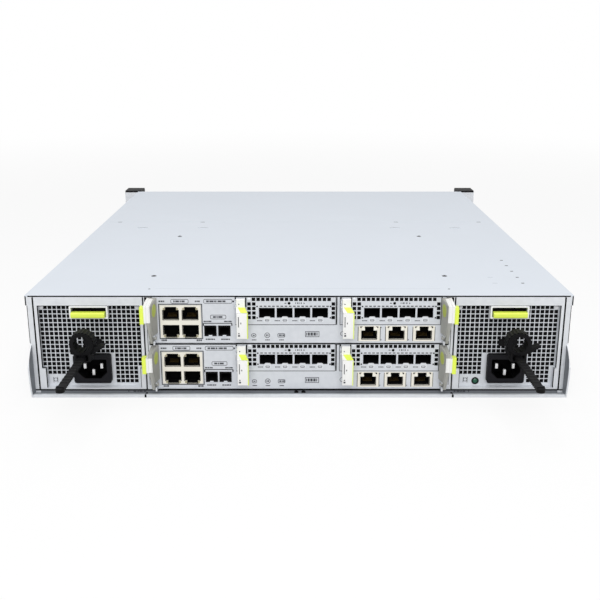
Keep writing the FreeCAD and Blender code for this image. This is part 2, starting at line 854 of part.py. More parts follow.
def controller_tray():
    """Rear panel, base and sides of one controller, with slotted lugs for its levers."""
    body = new_body("Panel")
    right = "slot_left + slot_width"
    panel = [("-controller_half", "body_inset"), ("controller_half", "body_inset")]
    panel += [("controller_half", "controller_tall")]
    panel += [(f"slot_pitch + {right}", "controller_tall"), (f"slot_pitch + {right}", "slot_low")]
    panel += [("slot_pitch + slot_left", "slot_low"), ("slot_pitch + slot_left", "controller_tall")]
    panel += [(right, "controller_tall"), (right, "slot_low"), ("slot_left", "slot_low")]
    panel += [("slot_left", "controller_tall"), ("-controller_half", "controller_tall")]
    add(body, "XZ", ("0", "panel_sheet"), panel, *panel_windows())
    high = "controller_tall - body_inset"
    folded = [("-controller_half", "body_inset"), ("controller_half", "body_inset"), ("controller_half", high)]
    folded += [("tray_in", high), ("tray_in", "tray_floor"), ("-tray_in", "tray_floor")]
    folded += [("-tray_in", high), ("-controller_half", high)]
    add(body, "XZ", ("panel_sheet", "module_end"), folded)
    lug = slotted_lug("lug_reach", "panel_sheet", "lug_height / 2",
                      "lever_axis_out", "lever_axis_up", "lever_pin + pin_gap")
    for near, far in (("lug_in", "lug_in + lug_width"), ("-lug_in - lug_width", "-lug_in")):
        add(body, "YZ", (near, far), lug)
    return body


def controller_board():
    """Circuit board with its heat sink, memory, backup pack, guides and midplane plugs."""
    edge = "tray_in - pcb_margin"
    board = block((f"-({edge})", edge), ("panel_sheet + pcb_from_panel", "module_end - plug_gap"),
                  ("pcb_low", "pcb_top"))
    sink = new_body("HeatSink")
    comb = [("0", "0"), ("sink_width", "0")]
    for fin in reversed(range(FINS)):
        at = f"{fin} * (sink_width - fin_sheet) / {FINS - 1}"
        comb += [(f"{at} + fin_sheet", "sink_height"), (at, "sink_height")]
        if fin:
            before = f"{fin - 1} * (sink_width - fin_sheet) / {FINS - 1} + fin_sheet"
            comb += [(at, "sink_base"), (before, "sink_base")]
    add(sink, "XZ", ("module_depth + sink_behind", "mate_start - sink_before"), comb)
    put(sink, "sink_left", "0", "pcb_top")
    memory = []
    for bank in range(2):
        right = f"sink_left - memory_aside - {bank} * memory_pitch"
        memory.append(block((f"{right} - memory_sheet", right),
                            ("module_depth + memory_margin", "mate_start - memory_margin"),
                            ("pcb_top", "pcb_top + memory_height")))
    left = "-tray_in + pcb_margin + pack_aside"
    start = "module_depth + pack_behind"
    pack = block((left, f"{left} + pack_width"), (start, f"{start} + pack_length"),
                 ("pcb_top", "pcb_top + pack_height"))
    guides = []
    for slot in range(2):
        x = f"{slot} * slot_pitch + slot_left + slot_width / 2"
        guides.append(block((f"{x} - module_rail / 2", f"{x} + module_rail / 2"),
                            ("single_depth + pcb_margin", "module_depth"),
                            ("pcb_top", "module_pcb - seat_gap")))
    plugs = [block((f"{x} - mate_width / 2", f"{x} + mate_width / 2"),
                   ("mate_start", "midplane_from_rear - plug_gap"),
                   ("pcb_top", "pcb_top + mate_height")) for x in ("-tray_in / 2", "tray_in / 2")]
    return together(board, sink, *memory, pack, *guides, *plugs)


def controller_jacks():
    """Shielded jack housings and cable ports, all standing on the controller's board."""
    gap, behind = "face_gap", "panel_sheet + pcb_from_panel"
    stack = new_body("JackStack")
    sides = (f"block_left + {gap}", f"block_left + block_width - {gap}")
    add(stack, "XZ", ("-flange_proud", "block_depth"),
        rect(*sides, f"block_low + {gap}", f"block_low + block_height - {gap}"))
    add(stack, "XZ", (behind, "block_depth"), rect(*sides, "pcb_top", "block_low + merge"))
    mouths = [rect(x, f"{x} + jack_width", z, f"{z} + jack_height") for x, z in four_blocks()]
    carve(stack, "XZ", ("-flange_proud - over", "jack_depth"), *mouths)
    pieces = [stack]
    for left in single_jacks():
        jack = new_body("Jack")
        inset = f"flange_lip + {gap}"
        shell = rect(f"{left} + {inset}", f"{left} + single_width - ({inset})",
                     "pcb_top", f"single_low + single_height - ({inset})")
        add(jack, "XZ", ("-flange_proud", "0"),
            rect(left, f"{left} + single_width", "single_low", "single_low + single_height"))
        add(jack, "XZ", ("0", "single_depth"), shell)
        mouth, low = f"{left} + (single_width - jack_width) / 2", "pcb_top + mouth_rise"
        carve(jack, "XZ", ("-flange_proud - over", "jack_depth"),
              rect(mouth, f"{mouth} + jack_width", low, f"{low} + jack_height"))
        pieces.append(jack)
    for left in cable_ports():
        port = new_body("Port")
        sides = (f"{left} + {gap}", f"{left} + port_width - {gap}")
        add(port, "XZ", ("-flange_proud", "port_depth"),
            rect(*sides, f"port_low + {gap}", f"port_low + port_height - {gap}"))
        add(port, "XZ", (behind, "port_depth"), rect(*sides, "pcb_top", "port_low + merge"))
        carve(port, "XZ", ("-flange_proud - over", "port_depth - 2 * port_wall"),
              rect(f"{left} + port_wall", f"{left} + port_width - port_wall",
                   "port_low + port_wall", "port_low + port_height - port_wall"))
        pieces.append(port)
    return together(*pieces)


def controller_lever(side):
    """Bow-shaped ejector lever with a thumb recess, and the pin that it turns on.
    Its heel is round about that pin."""
    body = new_body("Lever")
    near, far = sorted((f"{side} * lever_left", f"{side} * post_out"), key=number)
    bow = [("-lever_gap", "lever_axis_up"), ("-lever_gap", "lever_top")]
    bow += [("-lever_gap - lever_crown", "lever_top", "-lever_bow")]
    bow += [("-lever_reach", "lever_pad_top"), ("-lever_reach", "lever_pad_low")]
    bow += [("-lever_axis_out - lever_heel", "lever_foot")]
    bow += [("-lever_axis_out", "lever_foot", "heel_radius")]
    add(body, "YZ", (near, far), bow)
    front, back = "-lever_reach + thumb_inset", "-lever_reach + thumb_inset + thumb_width"
    low, high = "lever_pad_low + thumb_margin", "lever_pad_top - thumb_margin"
    middle = f"({front} + {back}) / 2"
    thumb = [(middle, low), (back, f"{low} + thumb_taper"), (back, f"{high} - thumb_taper")]
    thumb += [(middle, high), (front, f"{high} - thumb_taper"), (front, f"{low} + thumb_taper")]
    near, far = sorted((f"{side} * lever_left", f"{side} * (lever_left + thumb_depth)"), key=number)
    carve(body, "YZ", (near, far), thumb)
    near, far = sorted((f"{side} * lug_in", f"{side} * (lever_left + merge)"), key=number)
    add(body, "YZ", (near, far), circle("-lever_axis_out", "lever_axis_up", "lever_pin"))
    return body


# ---------------------------------------------------------------- interface modules


def module_mouths():
    """Openings of the four transceiver bays."""
    low = "cage_low + (cage_height - bay_height) / 2"
    mouths = []
    for index in range(4):
        left = f"cage_left + bay_rim + {index} * bay_pitch"
        mouths.append(rect(left, f"{left} + bay_width", low, f"{low} + bay_height"))
    return mouths


def interface_module():
    """Face plate with its handle lug, board, four-bay cage and chip cooler."""
    plate = new_body("FacePlate")
    through = ("-over", "face_sheet + over")
    add(plate, "XZ", ("0", "face_sheet"), rect("face_left", "face_right", "face_low", "slot_top"))
    carve(plate, "XZ", through, *module_mouths())
    half = "grid_hole / 2"
    top = carve(plate, "XZ", through,
                rect(f"grid_left - {half}", f"grid_left + {half}", f"grid_up - {half}", f"grid_up + {half}"))
    rows_of(plate, top, ("grid_pitch", 9))
    lug = slotted_lug("handle_axis_out + handle_ear / 2", "face_sheet", "handle_ear / 2",
                      "handle_axis_out", "handle_axis_up", "handle_pin + pin_gap")
    add(plate, "YZ", ("face_left", "face_left + handle_lug"), lug)
    cage = new_body("BayCage")
    add(cage, "XZ", ("face_sheet", "cage_depth"),
        rect("cage_left", "cage_left + cage_width", "cage_low", "cage_low + cage_height"))
    carve(cage, "XZ", ("0", "bay_depth"), *module_mouths())
    board = block(("face_left + face_sheet", "face_right - face_sheet"), ("face_sheet", "module_depth"),
                  ("module_pcb", "cage_low"))
    middle, start = "cage_left + cage_width / 2", "cage_depth + chip_from_cage"
    cooler = block((f"{middle} - chip_size / 2", f"{middle} + chip_size / 2"), (start, f"{start} + chip_size"),
                   ("cage_low", "cage_low + chip_height"))
    return together(plate, cage, board, cooler)


def module_handle():
    """Swan-necked pull handle of an interface module, with a wide lower pad."""
    body = new_body("Handle")
    left, right = "face_left + handle_lug + pin_gap", "face_left + handle_width"
    back, low = "-handle_reach + handle_wall", "handle_step - handle_wall / 2"
    outline = [("-handle_axis_out + handle_hub", "handle_axis_up", "handle_hub")]
    outline += [("-handle_axis_out", "handle_axis_up + handle_hub", "handle_hub")]
    outline += [("-handle_axis_out - handle_hub", "handle_axis_up")]
    outline += [("-handle_axis_out - handle_hub", "handle_bend")]
    outline += [("-handle_reach", "handle_step"), ("-handle_reach", "handle_foot"), (back, "handle_foot")]
    outline += [(back, low), ("-handle_axis_out + handle_hub", "handle_bend - handle_wall / 2")]
    add(body, "YZ", (left, right), outline)
    pad = rect("-handle_reach", back, "handle_foot", low)
    middle = f"({left} + {right}) / 2"
    add(body, "YZ", (f"{middle} - pad_width / 2", f"{middle} + pad_width / 2"), pad)
    pin = circle("-handle_axis_out", "handle_axis_up", "handle_pin")
    add(body, "YZ", ("face_left", f"{left} + merge"), pin)
    return body


# ---------------------------------------------------------------- power modules


def mesh_block(body, column, row, columns, rows):
    """A block of square vent holes. Column 0 is the middle, row 0 the lowest full row."""
    half = "mesh_hole / 2"
    x, z = f"{column} * mesh_pitch", f"mesh_low + {row} * mesh_pitch"
    hole = carve(body, "XZ", ("0", "psu_recess + psu_sheet + over"),
                 rect(f"{x} - {half}", f"{x} + {half}", f"{z} - {half}", f"{z} + {half}"))
    rows_of(body, hole, ("mesh_pitch", columns), ("mesh_pitch", rows) if rows > 1 else None)


def power_case():
    """Power module shell with its meshed rear panel, and the bulkhead and board inside.
    The origin is the middle of the module's lower edge on the rear plane."""
    body = new_body("PowerCase")
    add(body, "XZ", ("0", "module_end"), rect("-psu_half", "psu_half", "0", "psu_tall"))
    left, right = "-recess_half + step_left", "recess_half - step_right"
    recess = [(left, "recess_low"), (right, "recess_low"), (right, "step_up"), ("recess_half", "step_up")]
    recess += [("recess_half", "recess_top"), ("-recess_half", "recess_top"), ("-recess_half", "step_up")]
    recess += [(left, "step_up")]
    carve(body, "XZ", ("-over", "psu_recess"), recess)
    inner = rect("-psu_half + psu_sheet", "psu_half - psu_sheet", "psu_sheet", "psu_tall - psu_sheet")
    carve(body, "XZ", ("psu_recess + psu_sheet", "module_end - psu_sheet"), inner)
    inset = "inlet_body_inset - face_gap"
    back = rect(f"-inlet_width / 2 + {inset}", f"inlet_width / 2 - ({inset})",
                f"inlet_low + {inset}", f"inlet_low + inlet_height - ({inset})")
    carve(body, "XZ", ("0", "psu_recess + psu_sheet + over"), back)
    mesh_block(body, -3, 0, 7, 2)
    for column in (-3, 2):
        mesh_block(body, column, -2, 2, 2)
        mesh_block(body, column, 2, 2, 1)
    low, high = "well_low", "well_low + well_height"
    well = rect("-well_half", "well_half", low, high)
    inside = rect("-well_half + well_wall", "well_half - well_wall",
                  f"{low} + well_wall", f"{high} - well_wall")
    add(body, "XZ", ("face_gap", "psu_recess"), well, inside)
    return together(body, *power_inside())


def power_inside():
    """Fan bulkhead with its shaft, power board on its feet, winding and edge plug."""
    half, low, high = "psu_half - psu_sheet", "psu_sheet", "psu_tall - psu_sheet"
    plate = new_body("Bulkhead")
    face = "fan_from_rear + fan_depth"
    bore = "fan_radius + fan_tip_gap"
    hole = [(f"({bore}) * cos({angle})", f"fan_axis_up + ({bore}) * sin({angle})")
            for angle in range(0, 360, 20)]
    add(plate, "XZ", (face, f"{face} + bulkhead"), rect(f"-({half})", half, low, high), hole)
    add(plate, "XZ", (face, f"{face} + bulkhead"),
        rect("-fan_shaft", "fan_shaft", f"fan_axis_up - ({bore}) - merge", f"fan_axis_up + {bore} + merge"))
    add(plate, "XZ", ("fan_from_rear + shaft_setback", face), circle("0", "fan_axis_up", "fan_shaft"))
    start, end = "power_board_from_rear", "module_end - psu_sheet"
    top = "power_board_low + pcb_sheet"
    board = block((f"-({half}) + power_board_inset", f"{half} - power_board_inset"), (start, end),
                  ("power_board_low", top))
    feet = [block((f"{x} - foot_half", f"{x} + foot_half"), (f"{y} - foot_half", f"{y} + foot_half"),
                  (low, "power_board_low"))
            for x in ("-psu_half + foot_inset", "psu_half - foot_inset")
            for y in (f"{start} + foot_inset", f"{end} - foot_inset")]
    winding = block(("-winding_size / 2", "winding_size / 2"),
                    (f"{start} + winding_aside", f"{start} + winding_aside + winding_size"),
                    (top, f"{top} + winding_height"))
    plug = block(("-edge_width / 2", "edge_width / 2"), ("module_end", "midplane_from_rear - plug_gap"),
                 ("edge_up", "edge_up + edge_height"))
    return [plate, board, *feet, winding, plug]


def fan_rotor():
    """Hub with swept blades, open at the back for the shaft of the bulkhead.
    Its origin lies on the fan's axis at its rear face."""
    body = new_body("Rotor")
    sides = [(f"fan_hub * cos({angle})", f"fan_hub * sin({angle})") for angle in range(0, 360, 30)]
    add(body, "XZ", ("0", "fan_depth - rotor_gap"), sides)
    first, last = "blade_inset", "fan_depth - rotor_gap - blade_inset"
    slant = [(first, "-blade_chord / 2"), (f"{first} + blade_sheet", "-blade_chord / 2")]
    slant += [(last, "blade_chord / 2"), (f"{last} - blade_sheet", "blade_chord / 2")]
    blade = add(body, "YZ", ("fan_hub - blade_root", "fan_radius"), slant)
    doc.recompute()
    fan = body.newObject("PartDesign::PolarPattern", "Blades")
    fan.Originals = [blade]
    fan.Axis = (origin_of(body, "Y_Axis"), [""])
    fan.Angle = 360
    fan.Occurrences = BLADES
    body.Tip = fan
    bore = carve(body, "XZ", ("shaft_setback - 2 * pin_gap", "fan_depth"),
                 circle("0", "0", "fan_shaft + pin_gap"))
    body.Tip = bore
    return body


def mains_inlet():
    """Three-contact appliance inlet: flange, housing behind it, cavity and contacts."""
    body = new_body("Inlet")
    low, high = "inlet_low", "inlet_low + inlet_height"
    add(body, "XZ", ("0", "psu_recess - seat_gap / 2"), rect("-inlet_width / 2", "inlet_width / 2", low, high))
    round_edges(body, "inlet_corner", lambda edge: runs_along(edge, FreeCAD.Vector(0, 1, 0)))
    half = "inlet_width / 2 - inlet_body_inset"
    add(body, "XZ", ("psu_recess - merge", "psu_recess + inlet_body_depth"),
        rect(f"-({half})", half, f"{low} + inlet_body_inset", f"{high} - inlet_body_inset"))
    side, low, high = "cavity_width / 2", "cavity_low", "cavity_low + cavity_height"
    cavity = [(f"-({side}) + cavity_chamfer", low), (f"{side} - cavity_chamfer", low)]
    cavity += [(side, f"{low} + cavity_chamfer"), (side, high), (f"-({side})", high)]
    cavity += [(f"-({side})", f"{low} + cavity_chamfer")]
    carve(body, "XZ", ("-over", "cavity_depth"), cavity)
    contacts = []
    for x, up in (("-contact_pitch / 2", "contact_up"), ("contact_pitch / 2", "contact_up"), ("0", "earth_up")):
        level = f"inlet_low + {up}"
        contacts.append(block((f"{x} - contact_width / 2", f"{x} + contact_width / 2"),
                              ("contact_setback", "cavity_depth"),
                              (f"{level} - contact_height / 2", f"{level} + contact_height / 2")))
    return together(body, *contacts)


def power_latch():
    """Sprung release tab with a rounded lip, which slides up in its well."""
    body = new_body("Latch")
    low = "well_low + well_wall + seat_gap"
    high, front, back = f"{low} + latch_height", "-latch_reach", "psu_recess - seat_gap"
    tab = [(front, f"{low} + latch_round", "latch_round"), (f"{front} + latch_round", low), (back, low)]
    tab += [(back, high), (f"{front} + latch_round", high, "latch_round"), (front, f"{high} - latch_round")]
    add(body, "YZ", ("-latch_half", "latch_half"), tab)
    return body


def cord_strap():
    """Ratchet strap with fine teeth on top, rounded tip and end stop, fixed above the inlet."""
    body = new_body("Strap")
    top, under = "strap_thick / 2", "-strap_thick / 2"
    root, tip = "psu_recess - face_gap", "-strap_length"
    teeth = int(number("strap_length - tooth_start - tooth_end") // number("tooth_pitch"))
    ridge = [(tip, under), (root, under), (root, top)]
    for tooth in range(teeth):
        at = f"-tooth_start - {tooth} * tooth_pitch"
        ridge += [(at, top), (f"{at} - tooth_run", f"{top} + tooth_height"), (f"{at} - 2 * tooth_run", top)]
    ridge += [(tip, top)]
    add(body, "YZ", ("-strap_width / 2", "strap_width / 2"), ridge)
    add(body, "XY", (under, top), circle("0", tip, "strap_width / 2"))
    stop = rect("-strap_width / 2", "strap_width / 2", tip, f"{tip} + stop_depth")
    add(body, "XY", (under, f"{top} + strap_stop"), stop)
    plate = rect("-root_half", "root_half", "-strap_width / 2", "strap_width / 2")
    add(body, "XZ", (f"{root} - root_depth", root), plate)
    return body


def cord_clamp():
    """Cord clamp: slider that runs on the strap, split ring above it and release tab."""
    body = new_body("Clamp")
    first, last = "-clamp_from_panel - clamp_depth", "-clamp_from_panel"
    through = (f"{first} - over", f"{last} + over")
    add(body, "XZ", (first, last), circle("0", "ring_up", "ring_outer"), circle("0", "ring_up", "ring_inner"))
    add(body, "XZ", (first, last), rect("-clamp_width / 2", "clamp_width / 2", "-clamp_low", "clamp_high"))
    run = "strap_width / 2 + clamp_gap"
    carve(body, "XZ", through,
          rect(f"-({run})", run, "-strap_thick / 2 - clamp_gap", "strap_thick / 2 + tooth_height + clamp_gap"))
    under = "ring_up - ring_split / 2"
    carve(body, "XZ", through,
          rect("ring_inner - over", "ring_outer + over", under, "ring_up + ring_split / 2"))
    root, tip = "ring_outer - tab_thick / 2", "ring_outer + tab_length"
    tab = [(root, f"{under} - tab_thick"), (tip, f"{under} - tab_thick - tab_droop")]
    tab += [(tip, f"{under} - tab_droop"), (root, under)]
    add(body, "XZ", (f"{first} + tab_inset", f"{last} - tab_inset"), tab)
    return body


# ---------------------------------------------------------------- assembly


def build_chassis():
    gap = "seam_gap / 2"
    name_part(tray_shell(), "chassis_tray")
    name_part(bay_dividers(), "bay_dividers")
    name_part(cover((f"seam + {gap}", "front"), front_details), "front_top_cover")
    name_part(cover(("rear", f"seam - {gap}"), rear_details), "rear_top_cover")
    name_part(ear_trims(), "ear_trims")
    name_part(midplane_board(), "midplane_board")


def build_controllers():
    for level, tag in enumerate("ba"):
        up = f"controller_low + {level} * controller_rise"
        name_part(controller_tray(), f"controller_{tag}_tray", 0, "rear", up)
        name_part(controller_board(), f"controller_{tag}_board", 0, "rear", up)
        name_part(controller_jacks(), f"controller_{tag}_jacks", 0, "rear", up)
        name_part(controller_lever("-1"), f"controller_{tag}_left_lever", 0, "rear", up)
        name_part(controller_lever("1"), f"controller_{tag}_right_lever", 0, "rear", up)
        for slot in range(2):
            across = f"{slot} * slot_pitch"
            name_part(interface_module(), f"interface_{tag}{slot + 1}_module", across, "rear", up)
            name_part(module_handle(), f"interface_{tag}{slot + 1}_handle", across, "rear", up)


def build_power_modules():
    for side, name in (("-1", "left"), ("1", "right")):
        across = f"{side} * psu_middle"
        name_part(power_case(), f"power_{name}_case", across, "rear", "psu_low")
        name_part(mains_inlet(), f"power_{name}_inlet", across, "rear", "psu_low")
        name_part(power_latch(), f"power_{name}_latch", across, "rear", "psu_low")
        name_part(fan_rotor(), f"power_{name}_fan", across, "rear + fan_from_rear", "psu_low + fan_axis_up")
        strap = (f"{across} + strap_aside", "rear", "psu_low + strap_up")
        name_part(cord_strap(), f"power_{name}_strap", *strap)
        name_part(cord_clamp(), f"power_{name}_clamp", *strap)


def build_disks():
    for row in range(ROWS):
        for column in range(COLUMNS):
            tag = f"disk_{row * COLUMNS + column + 1:02d}"
            across = f"-cage_half + ({column} + 0.5) * column_pitch"
            up = f"sheet + {row} * row_pitch + carrier_lift"
            name_part(carrier(), f"{tag}_carrier", across, "front", up)
            name_part(carrier_grip(), f"{tag}_grip", across, "front", up)


def failures():
    """What did not rebuild, or a pocket that cut nothing."""
    wrong = [f"{thing.Label}: {thing.State}" for thing in doc.Objects
             if {"Invalid", "Error"} & set(thing.State)]
    for pocket in doc.findObjects("PartDesign::Pocket"):
        before = pocket.BaseFeature
        if before is None or pocket.Shape.Volume > before.Shape.Volume - 1e-6:
            wrong.append(f"{pocket.Label} in {pocket.getParentGeoFeatureGroup().Label} cuts nothing")
    wrong += [f"{part.Label}: empty or invalid shape" for part in PARTS
              if part.Shape.isNull() or not part.Shape.isValid()]
    return wrong


build_chassis()
build_controllers()
build_power_modules()
build_disks()
doc.recompute()
problems = failures()
if problems:
    raise RuntimeError("; ".join(problems))
os.makedirs("parts", exist_ok=True)
for part in PARTS:
    part.Shape.exportStep(os.path.join("parts", f"{part.Label}.step"))
print(f"{len(PARTS)} sub-parts, {sum(len(part.Shape.Solids) for part in PARTS)} solids")
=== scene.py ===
import math

import bmesh
import bpy
import numpy as np
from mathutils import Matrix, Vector
from mathutils.geometry import tessellate_polygon


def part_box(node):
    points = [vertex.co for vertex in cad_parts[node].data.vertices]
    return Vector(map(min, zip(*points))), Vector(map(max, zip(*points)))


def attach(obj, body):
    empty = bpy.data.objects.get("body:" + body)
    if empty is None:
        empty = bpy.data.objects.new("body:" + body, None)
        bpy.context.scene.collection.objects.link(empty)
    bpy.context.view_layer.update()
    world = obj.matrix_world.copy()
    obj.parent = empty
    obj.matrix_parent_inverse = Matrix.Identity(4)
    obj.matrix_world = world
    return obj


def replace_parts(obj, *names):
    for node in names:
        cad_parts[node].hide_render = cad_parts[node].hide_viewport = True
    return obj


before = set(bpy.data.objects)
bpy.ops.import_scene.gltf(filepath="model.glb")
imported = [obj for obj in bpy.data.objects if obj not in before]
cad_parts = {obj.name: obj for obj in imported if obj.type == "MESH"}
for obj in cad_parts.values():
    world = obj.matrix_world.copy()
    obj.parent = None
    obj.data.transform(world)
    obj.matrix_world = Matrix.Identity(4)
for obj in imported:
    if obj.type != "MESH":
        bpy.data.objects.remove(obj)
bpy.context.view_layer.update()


# ------------------------------------------------------------
# Chassis: folded and riveted sheet steel with a sill, two wings, divider posts and the disk
# cage. Its satin zinc plating has a mottled spangle and a faint rolled grain. Painted shade
# darkens the sill's floor and the wings' inner faces, and painted shadow lines run along the
# joints of the rear face.


def tone(red, green, blue):
    """A display colour, 0 to 255, as the light that it stands for."""
    scaled = np.array([red, green, blue]) / 255
    return (*np.where(scaled <= 0.04045, scaled / 12.92, ((scaled + 0.055) / 1.055) ** 2.4), 1.0)


class Wire:
    """One output of a material's node net. Arithmetic on it adds Math nodes."""

    def __init__(self, finish, socket):
        self.finish, self.socket = finish, socket

    def math(self, operation, first, second=0.0):
        """A Math node of one operation on two values or wires."""
        return self.finish.node("Math", {"operation": operation}, {0: first, 1: second})

    def __add__(self, other):
        return self.math("ADD", self, other)

    def __mul__(self, other):
        return self.math("MULTIPLY", self, other)

    def __sub__(self, other):
        return self.math("SUBTRACT", self, other)

    def __rsub__(self, other):
        return self.math("SUBTRACT", other, self)

    def __truediv__(self, other):
        return self.math("DIVIDE", self, other)

    def __gt__(self, other):
        return self.math("GREATER_THAN", self, other)

    def __lt__(self, other):
        return self.math("LESS_THAN", self, other)

    __radd__ = __add__
    __rmul__ = __mul__


class Finish:
    """A material for one kind of surface, with its node net and fixed surface values."""

    def __init__(self, name, **fixed):
        self.material = bpy.data.materials.new(name)
        self.material.use_nodes = True
        self.tree = self.material.node_tree
        self.surface = self.tree.nodes["Principled BSDF"]
        for words, value in fixed.items():
            self.surface.inputs[words.replace("_", " ")].default_value = value

    def node(self, kind, settings=(), sockets=(), out=0):
        """Adds a node: first its settings, then the values or links of its sockets."""
        added = self.tree.nodes.new("ShaderNode" + kind)
        for key, value in dict(settings).items():
            setattr(added, key, value)
        for key, value in dict(sockets).items():
            self.plug(added.inputs[key], value)
        return Wire(self, added.outputs[out])

    def plug(self, socket, value):
        """Links a wire to a socket, or sets a plain value in it."""
        if isinstance(value, Wire):
            self.tree.links.new(value.socket, socket)
        else:
            socket.default_value = value

    def drive(self, **values):
        """Sets or links the surface's values by name."""
        for words, value in values.items():
            self.plug(self.surface.inputs[words.replace("_", " ")], value)
        return self

    def place(self, stretch=(1, 1, 1)):
        """Object coordinates in metres, stretched along each axis."""
        spot = self.node("TexCoord", out="Object")
        return self.node("Mapping", {}, {"Vector": spot, "Scale": stretch})

    def noise(self, scale, detail=3.0, stretch=(1, 1, 1)):
        """Smooth noise from 0 to 1, with about scale bumps in a metre."""
        return self.node("TexNoise", {}, {"Vector": self.place(stretch), "Scale": scale, "Detail": detail})

    def blend(self, factor, first, second):
        """A colour between two others."""
        return self.node("Mix", {"data_type": "RGBA"}, {0: factor, 6: first, 7: second}, out=2)

    def relief(self, height, depth):
        """Bumps of a height pattern, with its full range given in metres."""
        return self.node("Bump", {}, {"Height": height, "Distance": depth, "Strength": 1.0})


def dress(finish, *names):
    """Gives CAD nodes a finish."""
    for name in names:
        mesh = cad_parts[name].data
        mesh.materials.clear()
        mesh.materials.append(finish.material)


def sheet_metal(name, light, dark, rough, metallic=0.25):
    """Satin plated sheet between two display colours: slow mottling in tone, and short
    streaks along x in gloss."""
    finish = Finish(name, Metallic=metallic)
    mottle = finish.noise(220.0, 4.0)
    streak = finish.noise(160.0, 3.0, (1, 9, 9))
    finish.drive(
        Base_Color=finish.blend(mottle, tone(*dark), tone(*light)),
        Roughness=rough + (streak - 0.5) * 0.22,
        Normal=finish.relief(streak + mottle * 0.4, 0.00004),
    )
    return finish


def satin(name, colour, rough, grain=0.00003, scale=900.0, spread=0.06, **fixed):
    """A plain coat or plastic: a fine grain in relief and gloss, and a slow drift in tone."""
    finish = Finish(name, **fixed)
    fine = finish.noise(scale, 2.0)
    slow = finish.noise(18.0, 2.0)
    colour = tone(*colour)
    darker = (*[part * (1 - spread) for part in colour[:3]], 1.0)
    finish.drive(
        Base_Color=finish.blend(slow, darker, colour),
        Roughness=rough + (fine - 0.5) * 0.16,
        Normal=finish.relief(fine, grain),
    )
    return finish


MM = 0.001
SHARP_ABOVE = math.radians(32)
CAD_SHARP_ABOVE = math.radians(50)


def limits(node):
    """A CAD node's lowest and highest corner in millimetres."""
    low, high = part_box(node)
    return np.array(low) * 1000, np.array(high) * 1000


def corners(left, right, low, high):
    """The four corners of a rectangle, counter-clockwise."""
    return np.array([(left, low), (right, low), (right, high), (left, high)], float)


def softened(outline, radius, steps=3):
    """An outline with each corner replaced by an arc: a quadratic curve between the points
    that lie radius / tan(half the corner's angle) from it."""
    here = np.asarray(outline, float)
    ahead, behind = np.roll(here, -1, 0) - here, np.roll(here, 1, 0) - here
    ahead_size, behind_size = np.hypot(*ahead.T), np.hypot(*behind.T)
    ahead, behind = ahead / ahead_size[:, None], behind / behind_size[:, None]
    half = np.arccos(np.clip((ahead * behind).sum(1), -1, 1)) / 2
    reach = np.broadcast_to(radius, half.shape) / np.tan(half)
    reach = np.minimum(reach, 0.49 * np.minimum(ahead_size, behind_size))
    t = np.linspace(0, 1, steps + 1)[None, :, None]
    first, last = here + behind * reach[:, None], here + ahead * reach[:, None]
    arc = (1 - t) ** 2 * first[:, None] + 2 * t * (1 - t) * here[:, None] + t**2 * last[:, None]
    return arc.reshape(-1, 2)


def circle(x, y, radius, count=24, squash=1.0):
    """A circle or ellipse of count points, counter-clockwise."""
    turn = np.arange(count) * 2 * math.pi / count
    return np.stack([x + radius * np.cos(turn), y + radius * squash * np.sin(turn)], 1)


def inset(outline, depth):
    """Each point moved inwards along its mitre, so that each side moves by depth."""
    outline = np.asarray(outline, float)
    side = np.roll(outline, -1, 0) - outline
    normal = np.stack([-side[:, 1], side[:, 0]], 1) / np.hypot(*side.T)[:, None]
    before = np.roll(normal, 1, 0)
    mitre = (normal + before) / np.maximum(1 + (normal * before).sum(1), 0.3)[:, None]
    return outline + mitre * depth


AXES = {"x": (2, 0, 1), "y": (0, 2, 1), "z": (0, 1, 2)}


def loft(rings):
    """A skin over rings of points (ring, point, xyz), with both ends capped."""
    rings = np.asarray(rings, float)
    count, size = rings.shape[:2]
    level, point = np.meshgrid(np.arange(count - 1), np.arange(size), indexing="ij")
    here, beside = level * size + point, level * size + (point + 1) % size
    faces = np.stack([here, beside, beside + size, here + size], -1).reshape(-1, 4).tolist()
    faces += [list(range(size))[::-1], list(range((count - 1) * size, count * size))]
    return rings.reshape(-1, 3), faces


def slab(outline, low, high, axis="y", edge=0.0):
    """An outline carried along an axis. Near each end it is drawn in along a quarter circle
    of radius edge, so the rims are rounded."""
    outline = np.asarray(outline, float)
    turn = np.linspace(0, math.pi / 2, 3) if edge else np.array([math.pi / 2])
    drawn = np.concatenate([edge * (1 - np.sin(turn)), edge * (1 - np.sin(turn[::-1]))])
    level = np.concatenate([low + edge * (1 - np.cos(turn)), high - edge * (1 - np.cos(turn[::-1]))])
    flat = np.stack([inset(outline, depth) if depth else outline for depth in drawn])
    rings = np.concatenate([flat, np.broadcast_to(level[:, None, None], flat.shape[:2] + (1,))], 2)
    return loft(rings[:, :, AXES[axis]])


def brick(low, high, edge=0.0, axis="y"):
    """A block between two corners, its edges softened by a radius."""
    low, high = np.minimum(low, high), np.maximum(low, high)
    along = "xyz".index(axis)
    across = [index for index in range(3) if index != along]
    base = corners(low[across[0]], high[across[0]], low[across[1]], high[across[1]])
    return slab(softened(base, edge, 2) if edge else base, low[along], high[along], axis, edge)


def turned(radii, levels, x, y, axis="y", count=24):
    """A profile turned about an axis: one circle for each radius, at its level."""
    flat = np.stack([circle(x, y, max(radius, 1e-3), count) for radius in radii])
    level = np.broadcast_to(np.asarray(levels, float)[:, None, None], flat.shape[:2] + (1,))
    return loft(np.concatenate([flat, level], 2)[:, :, AXES[axis]])


